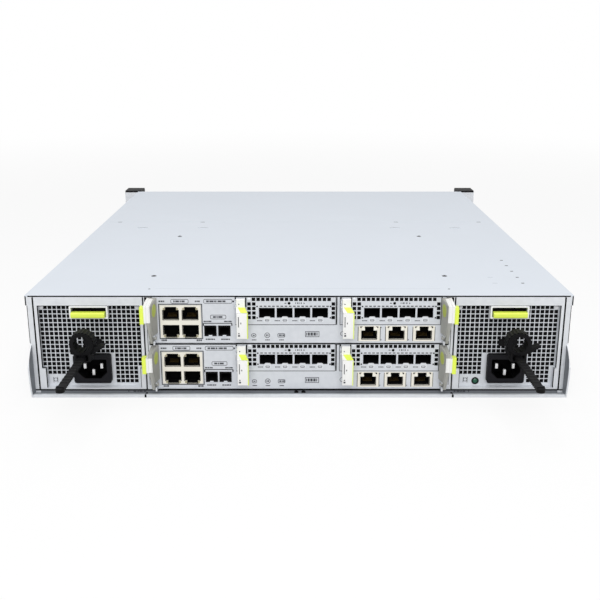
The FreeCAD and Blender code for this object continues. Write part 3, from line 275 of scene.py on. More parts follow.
def pierced(outline, holes, low, high, axis="y"):
    """A plate between two levels with holes of any outline, filled by triangles between
    the loops."""
    loops = [np.asarray(loop, float) for loop in (outline, *holes)]
    flat = np.concatenate(loops)
    filled = tessellate_polygon([[Vector((*spot, 0)) for spot in loop] for loop in loops])
    size = len(flat)
    near = np.column_stack([flat, np.full(size, low)])
    far = np.column_stack([flat, np.full(size, high)])
    faces = [list(face) for face in filled]
    faces += [[index + size for index in face][::-1] for face in filled]
    start = 0
    for loop in loops:
        index = np.arange(len(loop))
        after = (index + 1) % len(loop)
        walls = np.stack([index, after, after + size, index + size], 1) + start
        faces += walls.tolist()
        start += len(loop)
    return np.concatenate([near, far])[:, AXES[axis]], faces


def punched(left, right, low, high, holes, front, back):
    """A sheet facing y with rectangular holes (left, right, low, high). The holes' edges cut
    it into cells, and each solid cell has a face on both sides and walls to the holes."""
    holes = np.asarray(holes, float).reshape(-1, 4)
    xs = np.unique(np.round(np.concatenate([[left, right], holes[:, 0], holes[:, 1]]), 4))
    zs = np.unique(np.round(np.concatenate([[low, high], holes[:, 2], holes[:, 3]]), 4))
    mid_x, mid_z = (xs[1:] + xs[:-1]) / 2, (zs[1:] + zs[:-1]) / 2
    solid = np.zeros((len(xs) + 1, len(zs) + 1), bool)
    inside = (holes[:, 0, None] < mid_x) & (mid_x < holes[:, 1, None])
    within = (holes[:, 2, None] < mid_z) & (mid_z < holes[:, 3, None])
    solid[1:-1, 1:-1] = ~(inside[:, :, None] & within[:, None, :]).any(0)
    grid = np.stack(np.meshgrid(xs, zs, indexing="ij"), -1).reshape(-1, 2)
    size, tall = len(grid), len(zs)
    verts = np.concatenate([np.insert(grid, 1, level, axis=1) for level in (front, back)])
    column, row = np.nonzero(solid[1:-1, 1:-1])
    base = column * tall + row
    cell = np.stack([base, base + tall, base + tall + 1, base + 1], 1)
    faces = cell.tolist() + (cell[:, ::-1] + size).tolist()
    sides = ((0, -1, (0, 1)), (1, 0, (1, 2)), (0, 1, (2, 3)), (-1, 0, (3, 0)))
    for step_x, step_z, (first, second) in sides:
        bare = ~solid[column + 1 + step_x, row + 1 + step_z]
        near, far = cell[bare][:, first], cell[bare][:, second]
        faces += np.stack([near, far, far + size, near + size], 1).tolist()
    return verts, faces


def bevelled(made, width):
    """Rounds an object's sharp edges by a width in millimetres."""
    rounding = made.modifiers.new("rounding", "BEVEL")
    rounding.width, rounding.segments, rounding.limit_method = width * MM, 2, "ANGLE"
    return rounding


def linked(name, data):
    """An object for a mesh, a light or a camera, put into the scene."""
    made = bpy.data.objects.new(name, data)
    bpy.context.scene.collection.objects.link(made)
    return made


def piece(name, body, slot, finish, *shapes, bevel=0.0):
    """Puts shapes given in millimetres into one mesh, with its faces turned outwards."""
    points, faces, start = [], [], 0
    for verts, polygons in shapes:
        points.append(verts)
        faces += [[index + start for index in polygon] for polygon in polygons]
        start += len(verts)
    mesh = bpy.data.meshes.new(name)
    mesh.from_pydata((np.concatenate(points) * MM).tolist(), [], faces)
    work = bmesh.new()
    work.from_mesh(mesh)
    bmesh.ops.delete(work, geom=[vert for vert in work.verts if not vert.link_faces], context="VERTS")
    bmesh.ops.recalc_face_normals(work, faces=work.faces)
    work.to_mesh(mesh)
    work.free()
    mesh.shade_smooth()
    mesh.set_sharp_from_angle(angle=SHARP_ABOVE)
    mesh.materials.append(finish.material)
    made = linked(name, mesh)
    if bevel:
        bevelled(made, bevel)
    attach(made, body)
    return made


def soften(width, *names):
    """Rounds the sharp edges of CAD nodes as moulded parts have them."""
    for name in names:
        bevelled(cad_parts[name], width).angle_limit = CAD_SHARP_ABOVE


COVER_LOW, COVER_HIGH = limits("rear_top_cover")
REAR, BASE_SIDE, COVER_TOP = COVER_LOW[1], COVER_HIGH[0], COVER_HIGH[2]
zinc = sheet_metal("zinc_plated_sheet", (226, 229, 233), (206, 209, 214), 0.42)
shadow = satin("unlit_gap", (6, 6, 7), 0.85, Specular_IOR_Level=0.1)
ink = satin("grey_ink", (66, 68, 74), 0.6, 0.00001, 2000.0, 0.2)
dress(zinc, "chassis_tray", "bay_dividers")


def at_rear(left, right, low, high, front=0.08, back=0.02):
    """A strip in the rear plane, from front outside it to back inside it."""
    return slab(corners(left, right, low, high), REAR - front, REAR + back)


def both_sides(left, right, low, high):
    """A strip on the rear plane and its mirror image."""
    return [at_rear(left, right, low, high), at_rear(-right, -left, low, high)]


# Painted shadow: near-black strips along the rear face's joints, under the cover's rear lip, above the sill,
# beside the posts and walls, and on the edges of the covers' side skirts.
shadow_lines = [at_rear(-221.0, 221.0, 84.75, 85.8, 0.07, 0.3), at_rear(-221.0, 221.0, 3.1, 4.2, 0.1, 0.7)]
shadow_lines += both_sides(216.75, 217.9, 4.3, 84.5) + both_sides(126.9, 127.7, 4.3, 84.5)
shadow_lines += both_sides(120.1, 126.2, 79.6, 84.5) + both_sides(120.1, 123.6, 43.4, 46.8)
shadow_lines += both_sides(124.6, 125.0, 8.0, 79.6) + both_sides(221.9, 222.4, 45.0, 77.4)
piece("rear_shadow_lines", "chassis", "black_plastic", shadow, *shadow_lines)
piece("cover_side_shadow_lines", "chassis", "painted_sheet", shadow,
      *both_sides(BASE_SIDE - 0.95, BASE_SIDE, 77.6, 85.4))

SILL_DEPTH = 6.0
SILL_FLOOR = 1.15
SLITS = (-127.7, 127.7)
WING = np.array([(0.0, 1.4), (0.0, 43.4), (-2.0, 42.0), (-6.0, 38.8), (-9.8, 33.6), (-11.1, 28.0),
                 (-11.0, 22.0), (-10.0, 12.0), (-8.1, 1.4)])
# Painted shade on the sill: its floor darkens from light grey at the front to dark grey next to the modules,
# and a dark strip covers the foot of the rear wall.
sill_shade = Finish("sill_painted_shade", Roughness=0.7)
depth = sill_shade.node("SeparateXYZ", {}, {0: sill_shade.place()}, out="Y") - (REAR - SILL_DEPTH) * MM
sill_shade.drive(Base_Color=sill_shade.blend(depth / (SILL_DEPTH * MM), tone(186, 190, 196), tone(112, 116, 122)))
piece("sill_floor_painted_shade", "chassis", "zinc_sheet", sill_shade, *[
    slab(corners(left, right, REAR - 5.8, REAR + 0.5), SILL_FLOOR, SILL_FLOOR + 0.12, "z")
    for left, right in ((-220.9, -128.3), (-127.1, 127.1), (128.3, 220.9))],
    at_rear(-220.9, 220.9, 1.2, 3.2, -0.4, 0.65))
# Painted shade: a mid-grey sheet on each wing's inner face.
wing_shade = satin("wing_shade", (124, 128, 134), 0.6, 0.00002, 1200.0, 0.08)
piece("wing_painted_shade", "chassis", "zinc_sheet", wing_shade, *[
    slab(WING + (REAR, 0), *sorted((side * 221.05, side * 221.3)), "x") for side in (-1, 1)])
# Painted shadow: near-black strips in and above the sill's two slits.
slits = [at_rear(x - 0.8, x + 0.8, 0.1, 2.6, 8.1, -7.9) for x in SLITS]
slits += [slab(corners(x - 0.8, x + 0.8, REAR - 8.0, REAR), SILL_FLOOR, 1.4, "z") for x in SLITS]
piece("sill_slit_shadows", "chassis", "black_plastic", shadow, *slits)
piece("sill_fixings", "chassis", "zinc_sheet", shadow, *[
    slab(circle(x, 1.7, 1.8, 24, 0.68), REAR - 1.0, REAR + 0.5, edge=0.3) for x in (-2.4, 3.6)])
SILL_MARKS = ((-143.6, 0.8), (-139.2, 2.4), (-136.0, 1.2), (-134.2, 2.6), (-130.6, 2.2),
              (129.8, 1.6), (132.2, 2.6), (135.4, 1.2), (137.2, 2.4), (142.0, 0.8))
piece("sill_marks", "chassis", "zinc_sheet", ink, *[
    at_rear(x, x + wide, 1.5, 2.7, -0.3, 0.5) for x, wide in SILL_MARKS])

# ------------------------------------------------------------
# Top covers: two sheets painted pale blue-grey with a fine powder texture. The rear one
# lifts off: it is held by four screws with star recesses and has finger crescents, small
# slots and a pressed crease along its rear edge.

paint = satin("powder_paint", (222, 228, 236), 0.6, 0.00002, 1400.0, 0.03, Specular_IOR_Level=0.25)
# A darker grey of the paint, standing for the shade in the crease and the pressings.
pressing_shade = satin("pressing_painted_shade", (190, 197, 206), 0.5, 0.00002, 1400.0, 0.03)
screw_steel = sheet_metal("screw_steel", (96, 98, 102), (70, 72, 76), 0.35)
dress(paint, "front_top_cover", "rear_top_cover")


def wavy(x, y, radius, swell, waves, count):
    """A circle whose radius grows and shrinks by swell a number of times round."""
    turn = np.arange(count) * 2 * math.pi / count
    return circle(x, y, radius + swell * np.cos(waves * turn), count)


def crescent(x, y, half, rise, thick):
    """The upper arc of a finger recess: a parabola, thickest in the middle."""
    along = np.linspace(-1, 1, 21)
    outer = np.stack([x + half * along, y + rise * (1 - along**2)], 1)
    inner = outer - np.stack([0 * along, thick * np.sqrt(1 - along**2) + 0.02], 1)
    return np.concatenate([inner, outer[::-1][1:-1]])


def on_top(outline):
    """A thin patch lying on the covers."""
    return slab(outline, COVER_TOP - 0.2, COVER_TOP + 0.04, "z")


def slot_on_top(x, y, wide, deep, radius):
    """A patch for a slot with rounded corners around a middle, from its half sizes."""
    return on_top(softened(corners(x - wide, x + wide, y - deep, y + deep), radius))


SCREWS = [(side * x, REAR + back) for side in (-1, 1) for x, back in ((127.0, 226.8), (128.0, 61.8))]
SLOTS = [(191.0, REAR + back) for back in (37.7, 57.3, 78.4, 99.0, 119.6)]
SEAM_NOTCHES = [(x, REAR + 304.2) for x in (-205.7, -111.0, 111.0, 205.7)]
HEAD = [COVER_TOP - 0.5, COVER_TOP + 0.1, COVER_TOP + 0.35, COVER_TOP + 0.5, COVER_TOP + 0.52]
piece("cover_screw_heads", "chassis", "zinc_sheet", screw_steel, *[
    turned([2.0, 2.0, 1.8, 0.9, 0.05], HEAD, x, y, "z", 32) for x, y in SCREWS])
# Painted shade: near-black patches in the screws' star recesses, rings round the screw heads, the small
# holes, slots and seam notches, and the arcs of the finger recesses.
recesses = [slab(wavy(x, y, 0.9, 0.144, 6, 48), COVER_TOP + 0.3, COVER_TOP + 0.56, "z") for x, y in SCREWS]
recesses += [pierced(circle(x, y, 2.3, 32), [circle(x, y, 2.02, 32)], COVER_TOP - 0.2, COVER_TOP + 0.04, "z")
             for x, y in SCREWS]
recesses += [on_top(circle(side * 125.0, REAR + 19.3, 1.0, 20, 0.8)) for side in (-1, 1)]
recesses += [slot_on_top(x, y, 1.4, 0.8, 0.7) for x, y in SLOTS]
recesses += [slot_on_top(x, y, 2.4, 0.7, 0.5) for x, y in SEAM_NOTCHES]
recesses += [on_top(crescent(x, REAR + 271.3, 6.3, 2.6, 0.6)) for x in (-174.2, -106.7, 105.8, 172.9)]
piece("cover_recess_shadows", "chassis", "painted_sheet", shadow, *recesses)
# Painted shade: the crease and two pressed marks are drawn in the darker grey.
marks = [on_top(corners(-120.0, 118.0, REAR + 20.3, REAR + 20.6))]
marks += [slot_on_top(167.3, y, 2.3, 0.7, 0.6) for _, y in SLOTS[:2]]
piece("cover_pressing_shadows", "chassis", "painted_sheet", pressing_shade, *marks)

# ------------------------------------------------------------
# Ear caps and midplane: the caps are hollow black mouldings clipped over the rack ears.
# The midplane is a green board behind the cage.

black = satin("black_plastic", (9, 9, 11), 0.55, 0.00004, 1100.0, 0.15, Specular_IOR_Level=0.12)
dress(black, "ear_trims")
soften(0.7, "ear_trims")


def circuit(name, over_level):
    """Solder mask with fine tracks: two sets of lines at right angles, broken up by a slow
    noise. Above a level in metres it is the grey of the parts on the board."""
    finish = Finish(name, Metallic=0.0)
    lines = finish.node("TexWave", {"bands_direction": "X"}, {"Vector": finish.place(), "Scale": 160.0})
    cross = finish.node("TexWave", {"bands_direction": "Y"}, {"Vector": finish.place(), "Scale": 160.0})
    patch = finish.noise(60.0, 1.0) > 0.5
    tracks = (lines > 0.72) * patch + (cross > 0.72) * (1.0 - patch)
    green = finish.blend(tracks, tone(22, 82, 46), tone(38, 116, 68))
    part = finish.node("SeparateXYZ", {}, {0: finish.place()}, out="Z") > over_level
    finish.drive(
        Base_Color=finish.blend(part, green, tone(150, 152, 156)),
        Roughness=0.42 + tracks * 0.1,
        Normal=finish.relief(tracks, 0.00003),
    )
    return finish


dress(circuit("midplane_mask", 1.0), "midplane_board")

# ------------------------------------------------------------
# Controllers: zinc-plated trays with printed marks, a green board with its heat sink, and
# the cream-rimmed jacks in them. Each jack has a stepped mouth, two lamp windows, painted
# shade in and round its mouth, and eight gilt contacts. Painted shadow lines mark the gaps
# round the jacks and ports.

panel_zinc = sheet_metal("panel_sheet", (216, 219, 224), (198, 202, 208), 0.4)
cream = satin("cream_shield", (238, 234, 222), 0.42, 0.00002, 1300.0)
lamp_window = satin("lamp_window", (176, 170, 140), 0.2, 0.00001, 1500.0, 0.2)
clear_window = satin("clear_window", (244, 243, 232), 0.2, 0.00001, 1500.0, 0.08)
gilt = sheet_metal("gilt_contact", (128, 104, 56), (100, 80, 42), 0.4, 0.6)
PRINT = 0.06
JACK_PITCH, PORT_PITCH, CONTACT_PITCH = 22.5, 11.5, 1.02
JACK_DEPTH = 13.3
STACK_MOUTH = np.array([(6.25, -5.2), (6.25, 2.8), (4.5, 2.8), (4.5, 5.2)])
SINGLE_MOUTH = np.array([(6.0, -5.2), (6.0, 2.0), (3.4, 2.0), (3.4, 5.2)])
# How far the painted shade round each jack's mouth reaches past the opening.
MOUTH_SHADOW_MARGIN = np.array([(0.55, -0.45), (0.55, 0.2), (0.3, 0.2), (0.3, 0.45)])
SPRING = np.array([(7.5, -4.9), (12.6, -3.4), (12.6, -3.1), (7.5, -4.6)])
# Each lamp window's middle (from the jack's) and half sizes.
STACK_LAMP, SINGLE_LAMP = (5.4, 3.95, 0.8, 0.95), (4.8, 3.2, 1.25, 0.95)
# Printed capsules: left, right, low, and the widths of the bars in them.
PILLS = (
    (-104.8, -90.2, 34.3, (1.2, 3.0, 1.0, 2.6)),
    (-78.0, -54.4, 34.3, (2.2, 3.4, 1.4, 0.5, 3.2, 2.6)),
    (-72.8, -59.8, 20.9, (2.4, 1.0, 3.4)),
)
# Printed rows: left, low, height, gap and the widths of their bars.
ROWS = (
    (-114.6, 35.5, 1.3, 0.3, (1.5, 1.6, 1.0)),
    (-85.0, 35.5, 1.3, 0.3, (1.1, 1.0, 1.3)),
    (-113.6, 1.9, 1.5, 0.3, (1.0, 1.3, 1.6)),
    (-84.6, 1.9, 1.5, 0.3, (1.6, 0.9, 1.3)),
    (-77.0, 3.0, 1.1, 0.3, (1.2, 2.6, 1.8, 1.0)),
    (-64.4, 3.0, 1.1, 0.3, (1.6, 1.2, 2.4, 1.2)),
    (-78.4, 18.4, 1.1, 0.3, (2.0, 1.2, 2.6)),
    (-61.6, 18.4, 1.1, 0.3, (2.4, 1.0, 2.2)),
    (-27.3, 6.2, 1.6, 0.4, (0.8, 0.8)),
    (-16.6, 6.2, 1.5, 0.4, (1.6, 0.8, 1.2)),
    (-38.2, 6.4, 0.9, 0.0, (1.6,)),
    *((x, 2.6, 0.8, 0.2, (0.9, 1.6, 0.8)) for x in (-39.0, -28.0, -16.4)),
    (5.9, 6.7, 2.7, 0.5, (0.8, 1.6, 2.0, 2.0, 0.8)),
    *((x, 2.6, 1.3, 0.4, (0.5, 0.5)) for x in (66.4, 89.0)),
    (65.8, 13.2, 0.9, 0.5, (0.7, 0.7)),
)


def printed(outline):
    """Ink on a panel in the rear plane."""
    return slab(outline, REAR - PRINT, REAR + 0.02)


def ring(outline, width, low, high):
    """A band that follows an outline on its inner side."""
    return pierced(outline, [inset(outline, width)], low, high)


def drawn(outline, width=0.48):
    """An inked line that follows an outline on its inner side."""
    return ring(outline, width, REAR - PRINT, REAR + 0.02)


def capsule(left, right, low, high):
    """A rectangle with its corners rounded to arcs that nearly meet."""
    return softened(corners(left, right, low, high), (high - low) * 0.36, 5)


def bars(x, z, height, gap, widths):
    """A row of short printed bars that starts at x."""
    made = []
    for width in widths:
        made.append(printed(corners(x, x + width, z, z + height)))
        x += width + gap
    return made


def pill(left, right, low, widths):
    """A printed capsule outline around a row of bars."""
    outline = drawn(capsule(left, right, low, low + 3.7), 0.42)
    return [outline, *bars(left + 2.2, low + 1.1, 1.5, 0.5, widths)]


def mouth(x, z, up, half):
    """The outline of a jack's opening around its middle, from its right half: a wide body
    with a step to the latch notch, which points up or, with up = -1, down."""
    side = np.concatenate([half, half[::-1] * (-1, 1)]) * (1, up)
    return (side if up > 0 else side[::-1]) + (x, z)


def jack_pieces(name, body, places, half, lamp, window_finish):
    """Rims, painted shade in and round the mouths, lamp windows and contacts for jacks at (x, z, up) middles.
    """
    rims, mouth_shadows, lamps, contacts = [], [], [], []
    for x, z, up in places:
        hole = corners(x - 6.36, x + 6.36, z - 5.26, z + 5.26)
        opening = mouth(x, z, up, half)
        wider = mouth(x, z, up, half + MOUTH_SHADOW_MARGIN)
        # Painted shade: a near-black band round each mouth on the cream face, a near-black lining inside and
        # a cap at the back.
        mouth_shadows.append(pierced(wider, [opening], REAR - 0.68, REAR - 0.58))
        rims.append(pierced(hole, [opening], REAR - 0.62, REAR + 0.6))
        mouth_shadows.append(pierced(hole, [opening], REAR + 0.6, REAR + JACK_DEPTH))
        mouth_shadows.append(slab(hole, REAR + JACK_DEPTH, REAR + JACK_DEPTH + 0.15))
        across, above, wide, tall = lamp
        for side in (-1, 1):
            window = corners(x + side * across - wide, x + side * across + wide,
                             z + up * above - tall, z + up * above + tall)
            lamps.append(slab(softened(window, 0.3), REAR - 0.85, REAR + 0.2, edge=0.15))
        for index in range(8):
            at = x + (index - 3.5) * CONTACT_PITCH
            spring = SPRING * (1, up) + (REAR, z)
            contacts.append(slab(spring if up > 0 else spring[::-1], at - 0.2, at + 0.2, "x"))
    piece(f"{name}_rims", body, "jack_shield", cream, *rims)
    piece(f"{name}_liners", body, "black_plastic", shadow, *mouth_shadows)
    piece(f"{name}_lamps", body, "white_plastic", window_finish, *lamps)
    piece(f"{name}_contacts", body, "jack_shield", gilt, *contacts)


def controller(name):
    """Dresses one controller. All places are from the middle and lower edge of its panel."""
    low = limits(f"{name}_tray")[0][2] - 0.3
    dress(panel_zinc, f"{name}_tray")
    dress(circuit(f"{name}_mask", (low + 4.7) * MM), f"{name}_board")
    dress(cream, f"{name}_jacks")
    stack = [(x, low + z, up) for z, up in ((10.4, -1), (25.9, 1)) for x in (-105.1, -89.2)]
    jack_pieces(f"{name}_stack", name, stack, STACK_MOUTH, STACK_LAMP, lamp_window)
    single = [(57.65 + JACK_PITCH * index, low + 9.1, 1) for index in range(3)]
    jack_pieces(f"{name}_single", name, single, SINGLE_MOUTH, SINGLE_LAMP, clear_window)
    # Painted shadow: near-black lines round the stacked jacks and beside the single ones, a near-black lining
    # in each port with a band round its mouth, and lines round the grey band.
    gap_shadows = [ring(corners(-115.0, -79.2, low + 3.8, low + 34.0), 0.65, REAR - 0.05, REAR + 0.02)]
    for left in (48.8 + JACK_PITCH * index for index in range(3)):
        gap_shadows += [at_rear(x, x + 0.7, low + 2.1, low + 14.4) for x in (left - 0.5, left + 17.5)]
        gap_shadows += [at_rear(x, x + 1.8, low + 13.5, low + 14.8, 0.56, -0.4) for x in (left + 1.45, left + 14.45)]
    ports = [(-77.9 + PORT_PITCH * index, low + 6.7) for index in range(2)]
    for x, z in ports:
        gap_shadows.append(pierced(corners(x + 0.25, x + 9.65, z + 0.25, z + 8.25),
                            [corners(x + 1.12, x + 8.78, z + 1.12, z + 7.38)], REAR - 0.58, REAR + 23.8))
        gap_shadows.append(ring(corners(x - 0.1, x + 10.0, z - 0.2, z + 8.9), 0.9, REAR - 0.66, REAR - 0.56))
        gap_shadows.append(at_rear(x + 0.9, x + 9.0, z + 0.9, z + 7.6, -23.6, 23.8))
    gap_shadows.append(at_rear(-78.8, -55.0, low + 17.2, low + 17.6, 0.56))
    gap_shadows += [at_rear(x - 0.4, x + 0.4, low + 15.4, low + 17.2, 0.56) for x in (-78.6, -55.2)]
    piece(f"{name}_gaps", name, "black_plastic", shadow, *gap_shadows)
    tabs = [brick((x + 3.4, REAR - 0.75, z - 0.9), (x + 6.5, REAR + 0.2, z + 0.75), 0.2) for x, z in ports]
    tabs.append(brick((-67.85, REAR - 0.62, low + 6.4), (-66.95, REAR + 0.2, low + 15.4), 0.15))
    tabs.append(brick((-79.2, REAR - 0.5, low + 15.3), (-54.6, REAR + 0.2, low + 17.4), 0.2))
    piece(f"{name}_port_trim", name, "zinc_sheet", panel_zinc, *tabs)
    marks = [
        printed(circle(-53.6, low + 36.1, 0.75, 16)),
        drawn(circle(-26.3, low + 7.0, 2.3, 28)),
        drawn(circle(-37.4, low + 6.9, 2.1, 28, 0.85)),
        drawn(capsule(-17.8, -11.6, low + 5.2, low + 8.7)),
        drawn(corners(4.9, 16.6, low + 5.5, low + 10.5), 0.5),
        drawn(circle(36.0, low + 8.4, 2.1, 24), 0.4),
    ]
    for left, right, up, widths in PILLS:
        marks += pill(left, right, low + up, widths)
    for left, up, height, gap, widths in ROWS:
        marks += bars(left, low + up, height, gap, widths)
    piece(f"{name}_marks", name, "zinc_sheet", ink, *marks)


for tag in "ab":
    controller(f"controller_{tag}")

# ------------------------------------------------------------
# Controller levers: white ejectors whose arm is painted grey as shade, with an inner side that
# flares towards the panel, a white pad with a lime soft edge on its outer side, and a lime
# oval on the inner side, painted a duller lime as shade.

white = satin("white_plastic", (243, 243, 241), 0.38, 0.00003, 1000.0, 0.03)
lime = satin("lime_plastic", (230, 247, 92), 0.4, 0.00003, 1000.0, 0.05)
# Painted shade: a duller copy of the lime for the oval on the arm's shaded inner side.
lime_painted_shade = satin("oval_lime_painted_shade", (196, 208, 96), 0.5, 0.00003, 1000.0, 0.08)
# Painted shade: the white plastic arm is coloured grey, as if in shade.
arm_painted_shade = satin("arm_painted_shade", (172, 172, 166), 0.5, 0.00003, 1000.0, 0.06)
ARM = [(-0.5, 6.0), (-1.6, 3.2), (-4.4, 2.1), (-7.4, 2.1), (-21.0, 24.0), (-21.0, 37.8), (-15.0, 38.5),
       (-9.0, 38.95), (-3.5, 39.2), (-0.5, 39.2)]
EDGE = [(-21.2, 24.0), (-21.2, 37.6), (-19.0, 37.8), (-14.4, 37.6), (-15.4, 30.0), (-16.4, 24.0)]
FLARE = ((9.6, 12.0), (16.0, 16.0), (24.0, 20.9), (37.8, 20.9), (38.5, 15.0), (39.15, 3.5))
PAD_FOOT = [(-0.5, 30.0), (-8.0, 26.6), (-17.0, 24.0), (-21.0, 24.0)]
# The pad, the strip on its front, and how far the pad and the lime edge sit lower. The
# lower controller's pads stop short of the arm's slanted top, where the arm's painted grey
# stands for the shadow of the lever above.
PADS = {
    "a": ([*PAD_FOOT, *ARM[5:]],
          [(-20.4, 24.2), (-21.15, 24.2), (-21.15, 37.9), (-15.0, 38.7), (-9.0, 39.15), (-3.5, 39.4),
           (-3.5, 39.0), (-9.0, 38.75), (-15.0, 38.3), (-20.4, 37.4)], 0.0, 0.8),
    "b": ([*PAD_FOOT, (-21.0, 36.4), (-0.5, 36.4)],
          [(-20.4, 24.2), (-21.15, 24.2), (-21.15, 36.4), (-20.4, 36.4)], 1.6, 2.6),
}


def lever(name, tag, side):
    """Each part is a side view carried across: the arm, the pad outside it, and the lime
    edge outside that. The arm's flare is lofted upwards: at each level it runs straight
    from the panel, where it is widest, to the arm's front. A pin stands on the hinge's axis."""
    base = limits(name)[0][2] - 2.1
    pad, front, pad_drop, edge_drop = PADS[tag]

    def across(outline, near, far, edge=0.0, drop=0.0):
        """A side view carried from near to far on this lever's side, and lowered by drop."""
        return slab(np.array(outline) + (REAR, base - drop), *sorted((side * near, side * far)), "x", edge)

    def inner_face(depth, reach=21.0):
        """The flare's place across: 116.2 at the panel, and 2.2 further at its reach."""
        return 116.2 + 2.2 * (-0.5 - depth) / (reach - 0.5)

    pin = turned([1.5, 1.5], sorted((side * 116.8, side * 119.6)), REAR - 4.4, base + 6.0, "x")
    flare = []
    for up, reach in FLARE:
        near = [(side * inner_face(depth, reach), REAR + depth, base + up)
                for depth in np.linspace(-0.5, -reach, 6)]
        flare.append([*near, *((side * 119.5, REAR - depth, base + up) for depth in (reach, 0.5))])
    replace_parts(piece(f"{name}_arm", name, "white_plastic", arm_painted_shade,
                      across(ARM, 119.3, 121.6, 0.3), loft(flare), pin), name)
    piece(f"{name}_pad", name, "white_plastic", white,
          across(pad, 121.4, 123.8, 0.3, pad_drop), across(front, 118.45, 123.0, 0.1, pad_drop))
    piece(f"{name}_edge", name, "lime_plastic", lime, across(EDGE, 123.6, 126.7, 0.4, edge_drop))
    oval = circle(-9.5, 31.0, 5.6, 28, 0.95)
    rings = [np.column_stack([side * (inner_face(oval[:, 0]) + sunk), oval[:, 0] + REAR, oval[:, 1] + base])
             for sunk in (-0.12, 0.5)]
    piece(f"{name}_oval", name, "lime_plastic", lime_painted_shade, loft(rings))


for tag in "ab":
    lever(f"controller_{tag}_left_lever", tag, -1)
    lever(f"controller_{tag}_right_lever", tag, 1)

# ------------------------------------------------------------
# Interface modules: a thin plated face sheet with square air holes and four cage mouths with
# spring tabs, printed ticks and a status lamp. The handle is a white swan neck with a
# lime band on its slant and a lime edge down its pad.


AIR_HOLE = 2.9
MOUTH_PITCH = 14.5
# Painted shadow in the gaps beside the bar between the modules and at the panel's end, and
# in the seam between the two controllers, which lies under the upper panel and over the
# lower one.
BAR_GAPS = ((30.1, 31.2), (33.3, 34.9), (115.9, 116.9))
SEAMS = {"a": (0.0, 0.4), "b": (39.2, 39.75)}


def square(x, z, size):
    """The limits of a square around a middle."""
    return (x - size / 2, x + size / 2, z - size / 2, z + size / 2)


def interface(name):
    """Places are from the module's slot, which repeats at one pitch, and its lower edge."""
    low, high = limits(f"{name}_module")
    shift, base = low[0] + 52.3, low[2] - 16.5
    dress(panel_zinc, f"{name}_module")
    holes = [square(shift - 37.2 + 3.85 * index, base + 37.9, AIR_HOLE) for index in range(17)]
    holes += [square(shift + x, base + 22.4 + 3.87 * index, AIR_HOLE)
              for x in (-40.9, -37.0, 27.9) for index in range(4)]
    mouths = [(shift + x, shift + x + 13.7, base + 21.9, base + 31.2)
              for x in (-33.25 + MOUTH_PITCH * index for index in range(4))]
    face = (low[0], high[0], low[2], high[2])
    piece(f"{name}_face", name, "zinc_sheet", panel_zinc,
          punched(*face, holes + mouths, REAR - 0.34, REAR - 0.04))
    dark = [punched(*face, mouths, REAR - 0.04, REAR - 0.01)]
    for hole in mouths:
        dark += [ring(corners(*hole), 0.35, REAR + 0.1, REAR + 44.6), at_rear(*hole, -44.6, 44.9)]
    dark += [at_rear(x, x + 2.1, base + 31.7, base + 32.5, 0.38, -0.3)
             for x in (shift - 32.2 + 3.4 * index for index in range(17))]
    dark += [at_rear(*square(shift + x, base + z, 1.2), 0.38, -0.3)
             for x in (-34.3, 25.6) for z in (22.2, 31.9)]
    dark += [at_rear(shift - 44.0, shift - 42.9, base + 31.6, base + 39.5, 0.4, -0.3),
             at_rear(low[0], low[0] + 1.0, base + 33.0, high[2], 0.4, -0.3)]
    dark.append(turned([1.15, 1.15, 0.9, 0.05], [REAR + 0.1, REAR - 0.45, REAR - 0.6, REAR - 0.62],
                       shift - 8.2, base + 34.6, count=20))
    piece(f"{name}_shadows", name, "black_plastic", shadow, *dark)
    tabs, ticks = [], []
    for left, right, bottom, _ in mouths:
        middle = (left + right) / 2 + 0.2
        tongue = [(middle - 2.8, bottom - 3.4), (middle + 2.8, bottom - 3.4), (middle + 2.8, bottom + 0.5),
                  (middle + 1.9, bottom + 1.5), (middle - 1.9, bottom + 1.5), (middle - 2.8, bottom + 0.5)]
        window = softened(corners(middle - 1.7, middle + 1.7, bottom - 2.6, bottom - 0.9), 0.4)
        tabs.append(pierced(softened(tongue, 0.4), [window], REAR - 0.8, REAR - 0.3))
        ticks.append(ring(window, 0.4, REAR - 0.5, REAR - 0.3))
    piece(f"{name}_cage_tabs", name, "zinc_sheet", zinc, *tabs)
    ticks += [at_rear(x + step, x + step + 0.8, base + 19.3, base + 20.2, 0.4, -0.3)
              for x in (shift - 34.4 + 14.4 * index for index in range(4)) for step in (0, 1.1, 2.2, 3.3)]
    ticks += [at_rear(x, x + width, base + 34.1, base + 35.3, 0.4, -0.3)
              for x, width in zip(shift - 3.2 + 1.5 * np.arange(4), (0.5, 1.0, 0.5, 0.9))]
    ticks.append(slab(circle(shift + 4.0, base + 34.6, 0.8, 3), REAR - 0.42, REAR - 0.3))
    ticks.append(at_rear(shift - 12.0, shift - 10.4, base + 34.3, base + 35.0, 0.4, -0.3))
    piece(f"{name}_ticks", name, "zinc_sheet", ink, *ticks)
    piece(f"{name}_rivet", name, "zinc_sheet", zinc,
          turned([1.5, 1.4, 1.0, 0.1], [REAR - 0.2, REAR - 0.5, REAR - 0.65, REAR - 0.68],
                 shift - 41.0, base + 37.9, count=20))


BLOCK = np.array([(-0.6, 35.4), (-0.6, 31.6), (-5.5, 31.6), (-5.5, 39.0), (-4.6, 39.6), (-3.8, 39.4),
                  (-2.5, 38.5), (-1.5, 37.7), (-0.8, 36.6)])
GRIP = np.array([(-8.6, 7.6), (-11.5, 7.6), (-11.5, 29.7), (-8.6, 27.0)])
# Marks on the grip: left, width, low and height.
GRIP_MARKS = ((-49.3, 0.7, 17.6, 8.7), (-49.5, 1.6, 9.6, 1.5),
              (-49.3, 1.1, 11.8, 0.9), (-47.4, 0.7, 20.2, 1.4))


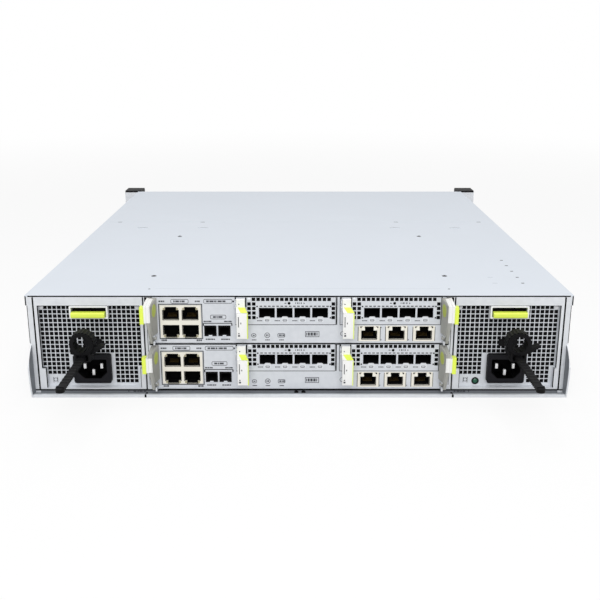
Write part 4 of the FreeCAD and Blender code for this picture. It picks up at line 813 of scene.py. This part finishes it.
def sloped(left, right, out, up, thick):
    """One end of a slanted bar: it is thick both inwards and downwards."""
    inner, under = out + thick, up - thick
    return [(left, out, up), (right, out, up), (right, inner, under), (left, inner, under)]


SLANT = np.array([sloped(-51.0, -44.0, -5.5, 32.4, 3.0), sloped(-50.5, -41.5, -11.5, 29.7, 2.9)])
BAND = np.array([sloped(-49.8, -43.95, -5.6, 32.6, 0.6), sloped(-47.0, -41.45, -11.64, 29.85, 0.6)])


def handle(name, body):
    """A profile in side view carried across the handle, its head rounded about the hinge.
    The lime band runs down the slant's right half, and dark marks are printed on the grip."""
    low = limits(name)[0]
    shift, base = low[0] + 53.2, low[2] - 1.6
    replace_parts(piece(f"{name}_shape", body, "white_plastic", white, loft(SLANT + (shift, REAR, base)),
                      slab(BLOCK + (REAR, base), shift - 51.0, shift - 44.0, "x", 0.35),
                      slab(softened(GRIP + (REAR, base), 0.5), shift - 50.5, shift - 41.5, "x", 0.35)), name)
    edge = brick((shift - 42.3, REAR - 11.65, base + 7.5), (shift - 41.4, REAR - 8.5, base + 29.0), 0.3, "x")
    piece(f"{name}_lime", body, "lime_plastic", lime, loft(BAND + (shift, REAR, base)), edge)
    piece(f"{name}_marks", body, "white_plastic", ink, *[
        at_rear(shift + x, shift + x + wide, base + z, base + z + tall, 11.57, -11.4)
        for x, wide, z, tall in GRIP_MARKS],
        slab(circle(shift - 48.9, base + 35.2, 0.5, 16), REAR - 5.57, REAR - 5.4))


for tag in "ab":
    for slot in "12":
        interface(f"interface_{tag}{slot}")
        handle(f"interface_{tag}{slot}_handle", f"interface_{tag}{slot}_pull")
    level = limits(f"controller_{tag}_tray")[0][2] - 0.3
    # Painted shadow: near-black strips in the gaps and the seam.
    piece(f"controller_{tag}_bar_gap_shadows", f"controller_{tag}", "black_plastic", shadow,
          *[at_rear(left, right, level + 16.2, level + 39.7) for left, right in BAR_GAPS],
          *[at_rear(left, left + 82.4, level + 15.9, level + 16.4) for left in (-52.4, 33.6)],
          at_rear(-119.2, 119.2, *(level + edge for edge in SEAMS[tag])))

# ------------------------------------------------------------
# Power modules: zinc-plated cases whose recessed rear face is a punched square mesh, with a
# black inlet, a lime release tab in a white frame, a status lamp, and a black moulded
# ratchet strap that carries a ribbed cord clamp.

grey_plastic = satin("grey_plastic", (24, 24, 28), 0.55, 0.00004, 1100.0, 0.1, Specular_IOR_Level=0.12)
contact_metal = sheet_metal("contact_metal", (250, 250, 250), (225, 226, 228), 0.25, 0.3)
white_frame = satin("white_frame", (240, 241, 244), 0.42, 0.00002, 1200.0, 0.03)
lamp_green = satin("lamp_green", (20, 88, 62), 0.25, 0.00001, 1500.0, 0.2)
steel = sheet_metal("bright_steel", (200, 203, 208), (180, 184, 190), 0.3, 0.8)
MESH_PITCH, MESH_HOLE, MESH_DEPTH = 3.8, 3.12, 5.0
# The mesh is made in two sheets, one above this level and a narrower one below it.
SPLIT = 19.0
THROAT = np.array([(-6.9, 9.5), (6.9, 9.5), (12.1, 14.7), (12.1, 26.4), (-12.1, 26.4), (-12.1, 14.7)])
RELEASE_ARM = np.array([(6.2, -8.6), (9.4, -8.2), (13.2, -5.4), (17.0, -3.2), (17.6, -1.4), (15.4, -1.0),
                        (11.8, -2.6), (8.6, -2.8)])
PAWL = np.array([(-9.6, -8.4), (-6.0, -9.2), (-6.0, -5.4), (-9.0, -4.2)])
RIB_PITCH = 3.0


def mesh_cells():
    """Columns are counted from the module's middle and rows from the top. The latch well
    takes a block out of the top rows, and the inlet one out of the bottom rows."""
    for row in range(18):
        for column in range(22):
            under_well = row > 2 or column < 7 or column > 14
            beside_inlet = row < 11 or (column < 6 and row < 16) or column > 15
            corner = row < 1 and column in (0, 21)
            if under_well and beside_inlet and not corner and (row < 14 or 0 < column < 21):
                yield column, row


def power(name):
    """Places are from the middle and lower edge of the module's case."""
    low, high = limits(f"{name}_case")
    middle, base = (low[0] + high[0]) / 2, low[2]
    half = (high[0] - low[0]) / 2 - 2.35
    dress(zinc, f"{name}_case")
    dress(black, f"{name}_inlet", f"{name}_strap", f"{name}_fan")
    dress(lime, f"{name}_latch")
    floor = REAR + MESH_DEPTH
    left, right = 3.0 - half, half - 1.4

    def area(left, right, bottom, top):
        """The limits of a rectangle given from the module's middle and lower edge."""
        return (middle + left, middle + right, base + bottom, base + top)

    def rounded(wide, bottom, top, radius):
        """A rectangle with rounded corners about the module's middle."""
        return softened(corners(*area(-wide, wide, bottom, top)), radius)

    first_x, first_z = middle - 0.6 - 10.5 * MESH_PITCH, base + 70.3
    holes = [square(first_x + column * MESH_PITCH, first_z - row * MESH_PITCH, MESH_HOLE)
             for column, row in mesh_cells()]
    upper = [hole for hole in holes if hole[2] > base + SPLIT]
    lower = [hole for hole in holes if hole[3] < base + SPLIT]
    upper_face = area(0.1 - half, half - 0.1, SPLIT, 73.0)
    lower_face = area(left + 0.1, right - 0.1, 1.3, SPLIT)
    upper_gap, lower_gap = area(-13.6, 13.6, SPLIT, 28.6), area(-13.6, 13.6, 7.3, SPLIT)
    well = area(-15.3, 15.3, 62.2, 72.2)
    sheet, behind = (floor - 0.38, floor - 0.08), (floor - 0.08, floor - 0.02)
    piece(f"{name}_mesh", name, "zinc_sheet", panel_zinc,
          punched(*upper_face, [*upper, upper_gap, well], *sheet),
          punched(*lower_face, [*lower, lower_gap], *sheet))
    dark = [punched(*upper_face, [upper_gap], *behind), punched(*lower_face, [lower_gap], *behind)]
    dark.append(at_rear(*area(13.85, 14.6, 63.2, 69.0), 0.5 - MESH_DEPTH, MESH_DEPTH - 0.1))
    shade = corners(middle - 13.75, middle + 13.75, REAR + 0.9, REAR + 4.55)
    piece(f"{name}_latch_shade", f"{name}_latch", "black_plastic", shadow,
          slab(shade, base + 67.9, base + 68.12, "z"))
    dark += [at_rear(*area(*span), -0.1, 1.4) for span in (
        (-half, 0.45 - half, SPLIT + 0.1, 73.1), (half - 0.45, half, SPLIT + 0.1, 73.1),
        (-half, half, 72.7, 73.1), (left, left + 0.45, 1.3, SPLIT),
        (right - 0.45, right, 1.3, SPLIT), (-half, left + 0.45, SPLIT, SPLIT + 0.45))]
    piece(f"{name}_mesh_shadow", name, "black_plastic", shadow, *dark)
    piece(f"{name}_latch_frame", name, "white_plastic", white_frame,
          pierced(rounded(15.8, 61.8, 72.7, 0.8), [rounded(14.5, 63.1, 71.4, 0.6)],
                  REAR - 0.35, REAR + 4.9), bevel=0.25)
    piece(f"{name}_rivets", name, "zinc_sheet", white_frame, *[
        turned([1.7, 1.7, 1.3, 0.6, 0.05], [floor - 0.2, floor - 0.55, floor - 0.8, floor - 0.9, floor - 0.9],
               middle + x, base + 70.6, count=24) for x in (-half + 2.2, half - 2.6)])
    blades, stem_shadows = [], []
    for x, up, tall in ((-7.0, 13.6, 4.4), (7.0, 13.6, 4.4), (0.0, 8.0, 5.0)):
        at, foot, head = middle + x, base + 5.5 + up - tall / 2, base + 5.5 + up + tall / 2
        blades.append(brick((at - 1.15, REAR + 3.5, foot), (at + 1.15, REAR + 6.0, head), 0.45))
        stem_shadows.append(brick((at - 1.1, REAR + 6.0, foot + 0.1), (at + 1.1, REAR + 16.4, head - 0.1)))
    piece(f"{name}_contacts", name, "jack_shield", contact_metal, *blades)
    throat = softened(THROAT + (middle, base), 0.8)
    inner = rounded(14.0, 7.0, 28.9, 1.4)
    piece(f"{name}_inlet_rim", name, "black_plastic", grey_plastic,
          pierced(rounded(15.6, 5.4, 30.5, 2.1), [inner], REAR - 0.5, REAR + 0.1),
          pierced(inner, [throat], REAR - 0.2, REAR + 0.3), bevel=0.2)
    # Painted shade: the inlet's throat and the contacts' stems inside it are near-black.
    piece(f"{name}_inlet_throat_shadow", name, "black_plastic", shadow, ring(throat, 0.15, REAR + 0.3, REAR + 16.2),
          slab(inset(throat, 0.1), REAR + 16.15, REAR + 16.3), *stem_shadows)
    lamp_x, lamp_z = middle - 24.2, base + 5.8
    piece(f"{name}_lamp_ring", name, "black_plastic", black,
          pierced(circle(lamp_x, lamp_z, 3.1, 32), [circle(lamp_x, lamp_z, 2.1, 32)], floor - 0.9, floor))
    piece(f"{name}_lamp", name, "white_plastic", lamp_green,
          turned([2.15, 2.15, 1.7, 0.9, 0.05], [floor, floor - 0.6, floor - 1.0, floor - 1.25, floor - 1.3],
                 lamp_x, lamp_z, count=28))
    sign_x, sign_z = middle - 32.6, base + 6.8
    marks = [ring(circle(sign_x, sign_z, 1.7, 24), 0.4, floor - 0.44, floor - 0.36)]
    marks += [slab(corners(sign_x - 1.9 + step, sign_x - 1.4 + step, sign_z - 2.6, sign_z + 2.2),
                   floor - 0.46, floor - 0.36) for step in (0.0, 3.3)]
    piece(f"{name}_marks", name, "zinc_sheet", ink, *marks)


def strap_and_clamp(name):
    """The clamp's ring is wavy outside, with small teeth in its bore, a sleeve for the strap
    under it and a release arm at its right. The strap's cross ribs stand at one pitch, and
    a round boss ends it."""
    low, high = limits(f"{name}_clamp")
    front, back = low[1], high[1]
    strap_low, strap_high = limits(f"{name}_strap")
    tip, middle = strap_low[1], (strap_low[0] + strap_high[0]) / 2
    deck = strap_low[2] + 2.8
    centre = deck + 10.8
    bore, rim = circle(middle, centre, 6.4, 44), circle(middle, centre, 9.0, 44)
    clamp = [pierced(wavy(middle, centre, 9.7, 0.35, 22, 176), [bore], front + 0.9, back - 0.9)]
    clamp += [pierced(rim, [bore], near, near + 0.9) for near in (front, back - 0.9)]
    clamp += [turned([0.5, 0.7, 0.7, 0.5], [front + 0.4, front + 1.0, back - 1.0, back - 0.4],
                     middle + 6.5 * math.cos(angle), centre + 6.5 * math.sin(angle), count=10)
              for angle in np.arange(10) * math.pi / 5]
    clamp += [brick((middle + left, front + 0.6, deck - 3.9), (middle + right, back - 0.6, deck + top), 0.4)
              for left, right, top in ((-6.2, 6.6, -2.9), (-6.2, -4.4, 3.6), (4.6, 6.6, 3.6))]
    clamp += [slab(softened(outline + (middle, centre), 0.5), front + ahead, back - behind, edge=0.4)
              for outline, ahead, behind in ((RELEASE_ARM, 2.0, 3.4), (PAWL, 1.6, 2.4))]
    body = f"{name}_clamp"
    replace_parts(piece(f"{name}_ribbed_clamp", body, "black_plastic", black, *clamp), body)
    soften(0.4, f"{name}_strap")
    starts = tip + 8.0 + RIB_PITCH * np.arange(int((REAR - 36.0 - tip) / RIB_PITCH))
    grips = [brick((middle - 2.9, start, deck - 2.05), (middle + 2.9, start + 1.0, deck + 0.22), 0.2)
             for start in starts]
    boss = turned([3.2, 3.4, 3.2, 2.2, 0.1], [deck - 2.0, deck - 1.0, deck + 1.0, deck + 1.6, deck + 1.7],
                  middle, tip + 3.4, "z", 28)
    piece(f"{name}_strap_ribs", name, "black_plastic", black, *grips, boss, bevel=0.1)


for side in ("left", "right"):
    power(f"power_{side}")
    strap_and_clamp(f"power_{side}")

# ------------------------------------------------------------
# Disk carriers: dark die-cast bezels with wire mesh in their vents, a black grip with a
# release button, and two lamp rods at the right of each bezel.

alloy = sheet_metal("carrier_alloy", (92, 95, 100), (74, 77, 82), 0.38, 0.7)
VENT_PITCH, WIRE_PITCH, WIRE = 16.4, 2.0, 0.35


def wire_mesh(x, z, half, level):
    """A square woven vent insert around a middle: upright and level wires at one pitch."""
    steps = np.arange(WIRE_PITCH - half, half - WIRE, WIRE_PITCH)
    wires = [brick((x + step, level - 0.3, z - half), (x + step + WIRE, level, z + half)) for step in steps]
    return wires + [brick((x - half, level, z + step), (x + half, level + 0.3, z + step + WIRE))
                    for step in steps]


for index in range(1, 13):
    name = f"disk_{index:02d}"
    low, high = limits(f"{name}_carrier")
    middle, face = (low[0] + high[0]) / 2, high[1]
    dress(alloy, f"{name}_carrier")
    dress(black, f"{name}_grip")
    soften(0.5, f"{name}_grip")
    centre = (low[2] + high[2]) / 2
    vents = []
    for slot in range(-2, 3):
        vents += wire_mesh(middle + slot * VENT_PITCH, centre, 6.0, face - 8.2)
    piece(f"{name}_vent_mesh", name, "carrier_alloy", steel, *vents)
    piece(f"{name}_lamp_rods", name, "white_plastic", clear_window, *[
        turned([1.1, 1.1, 0.8, 0.05], [face - 7.2, face - 1.0, face - 0.6, face - 0.55],
               high[0] - 5.4, centre + z, count=16) for z in (-4.5, 4.5)])
    (end, _, _), (_, lip, _) = limits(f"{name}_grip")
    grooves = [brick((end + at, lip - 0.1, centre - 6.5), (end + at + 1.1, lip + 0.35, centre + 6.5), 0.2)
               for at in 9.0 + 2.2 * np.arange(8)]
    piece(f"{name}_grip_ribs", f"{name}_lever", "black_plastic", grey_plastic, *grooves)
    button = brick((end + 30.0, lip - 0.2, centre - 4.6), (end + 41.0, lip + 0.5, centre + 4.6), 0.8)
    piece(f"{name}_release", f"{name}_lever", "lime_plastic", lime, button)

# ------------------------------------------------------------
# Studio: a pale floor that keeps the enclosure's shadow and fades into a white surround,
# soft light from above and behind, and the camera behind the enclosure, a little above it.


class Surround(Finish):
    """The world's node net, made in the same way as a material's."""

    def __init__(self, world):
        world.use_nodes = True
        self.tree = world.node_tree


def shown(finish):
    """1 for what the camera sees straight, in a mirror or through glass, and 0 for light."""
    kinds = ("Camera", "Glossy", "Transmission")
    return sum(finish.node("LightPath", out=f"Is {kind} Ray") for kind in kinds) > 0.5


backdrop = Finish("pale_floor", Roughness=0.95)
pale = backdrop.blend(backdrop.noise(2.0, 2.0), (0.92, 0.92, 0.92, 1), (0.94, 0.94, 0.94, 1))
backdrop.drive(Base_Color=backdrop.blend(shown(backdrop), (0.5, 0.5, 0.5, 1), pale))
away = backdrop.node("VectorMath", {"operation": "LENGTH"}, {0: backdrop.place()}, out="Value")
fade = backdrop.node("MapRange", {"interpolation_type": "SMOOTHSTEP"},
                     {"Value": away, "From Min": 0.4, "From Max": 2.2, "To Min": 0.8, "To Max": 1.0})
WHITE = (1, 1, 1, 1)
glow = backdrop.node("Emission", {}, {"Color": WHITE, "Strength": 1.0})
lit = Wire(backdrop, backdrop.surface.outputs[0])
mixed = backdrop.node("MixShader", {}, {0: shown(backdrop) * fade, 1: lit, 2: glow})
backdrop.plug(backdrop.tree.nodes["Material Output"].inputs["Surface"], mixed)
mesh = bpy.data.meshes.new("floor")
FLOOR_HALF, FLOOR_LEVEL = 9, -0.0003
outline = corners(-FLOOR_HALF, FLOOR_HALF, -FLOOR_HALF, FLOOR_HALF)
mesh.from_pydata([(x, y, FLOOR_LEVEL) for x, y in outline], [], [[0, 1, 2, 3]])
mesh.materials.append(backdrop.material)
linked("floor", mesh)

bpy.context.scene.world = bpy.data.worlds.new("studio")
around = Surround(bpy.context.scene.world)
white_wall = around.node("Background", {}, {"Color": WHITE, "Strength": 1.0})
soft_light = around.node("Background", {}, {"Color": WHITE, "Strength": 0.4})
either = around.node("MixShader", {}, {0: shown(around), 1: soft_light, 2: white_wall})
around.plug(around.tree.nodes["World Output"].inputs["Surface"], either)


def lamp(name, spot, aim, size, power):
    """A square soft lamp at a spot, turned towards an aim."""
    light = bpy.data.lights.new(name, "AREA")
    light.size, light.energy = size, power
    made = linked(name, light)
    made.location = spot
    made.rotation_euler = (Vector(aim) - Vector(spot)).to_track_quat("-Z", "Y").to_euler()


lamp("overhead", (0.0, -0.1, 1.7), (0, 0, 0), 1.4, 9.5)
lamp("behind", (0.0, -2.0, 1.2), (0, -0.26, 0.04), 1.6, 32.0)

# The camera looks down by this many degrees.
TILT = 16.36
camera_data = bpy.data.cameras.new("camera")
camera_data.lens, camera_data.sensor_width = 52.3, 36.0
camera = linked("camera", camera_data)
camera.location = (0.0007, -0.941, 0.2821)
camera.rotation_euler = (math.radians(90 - TILT), 0, 0)
bpy.context.scene.camera = camera
bpy.context.scene.view_settings.view_transform = "Standard"
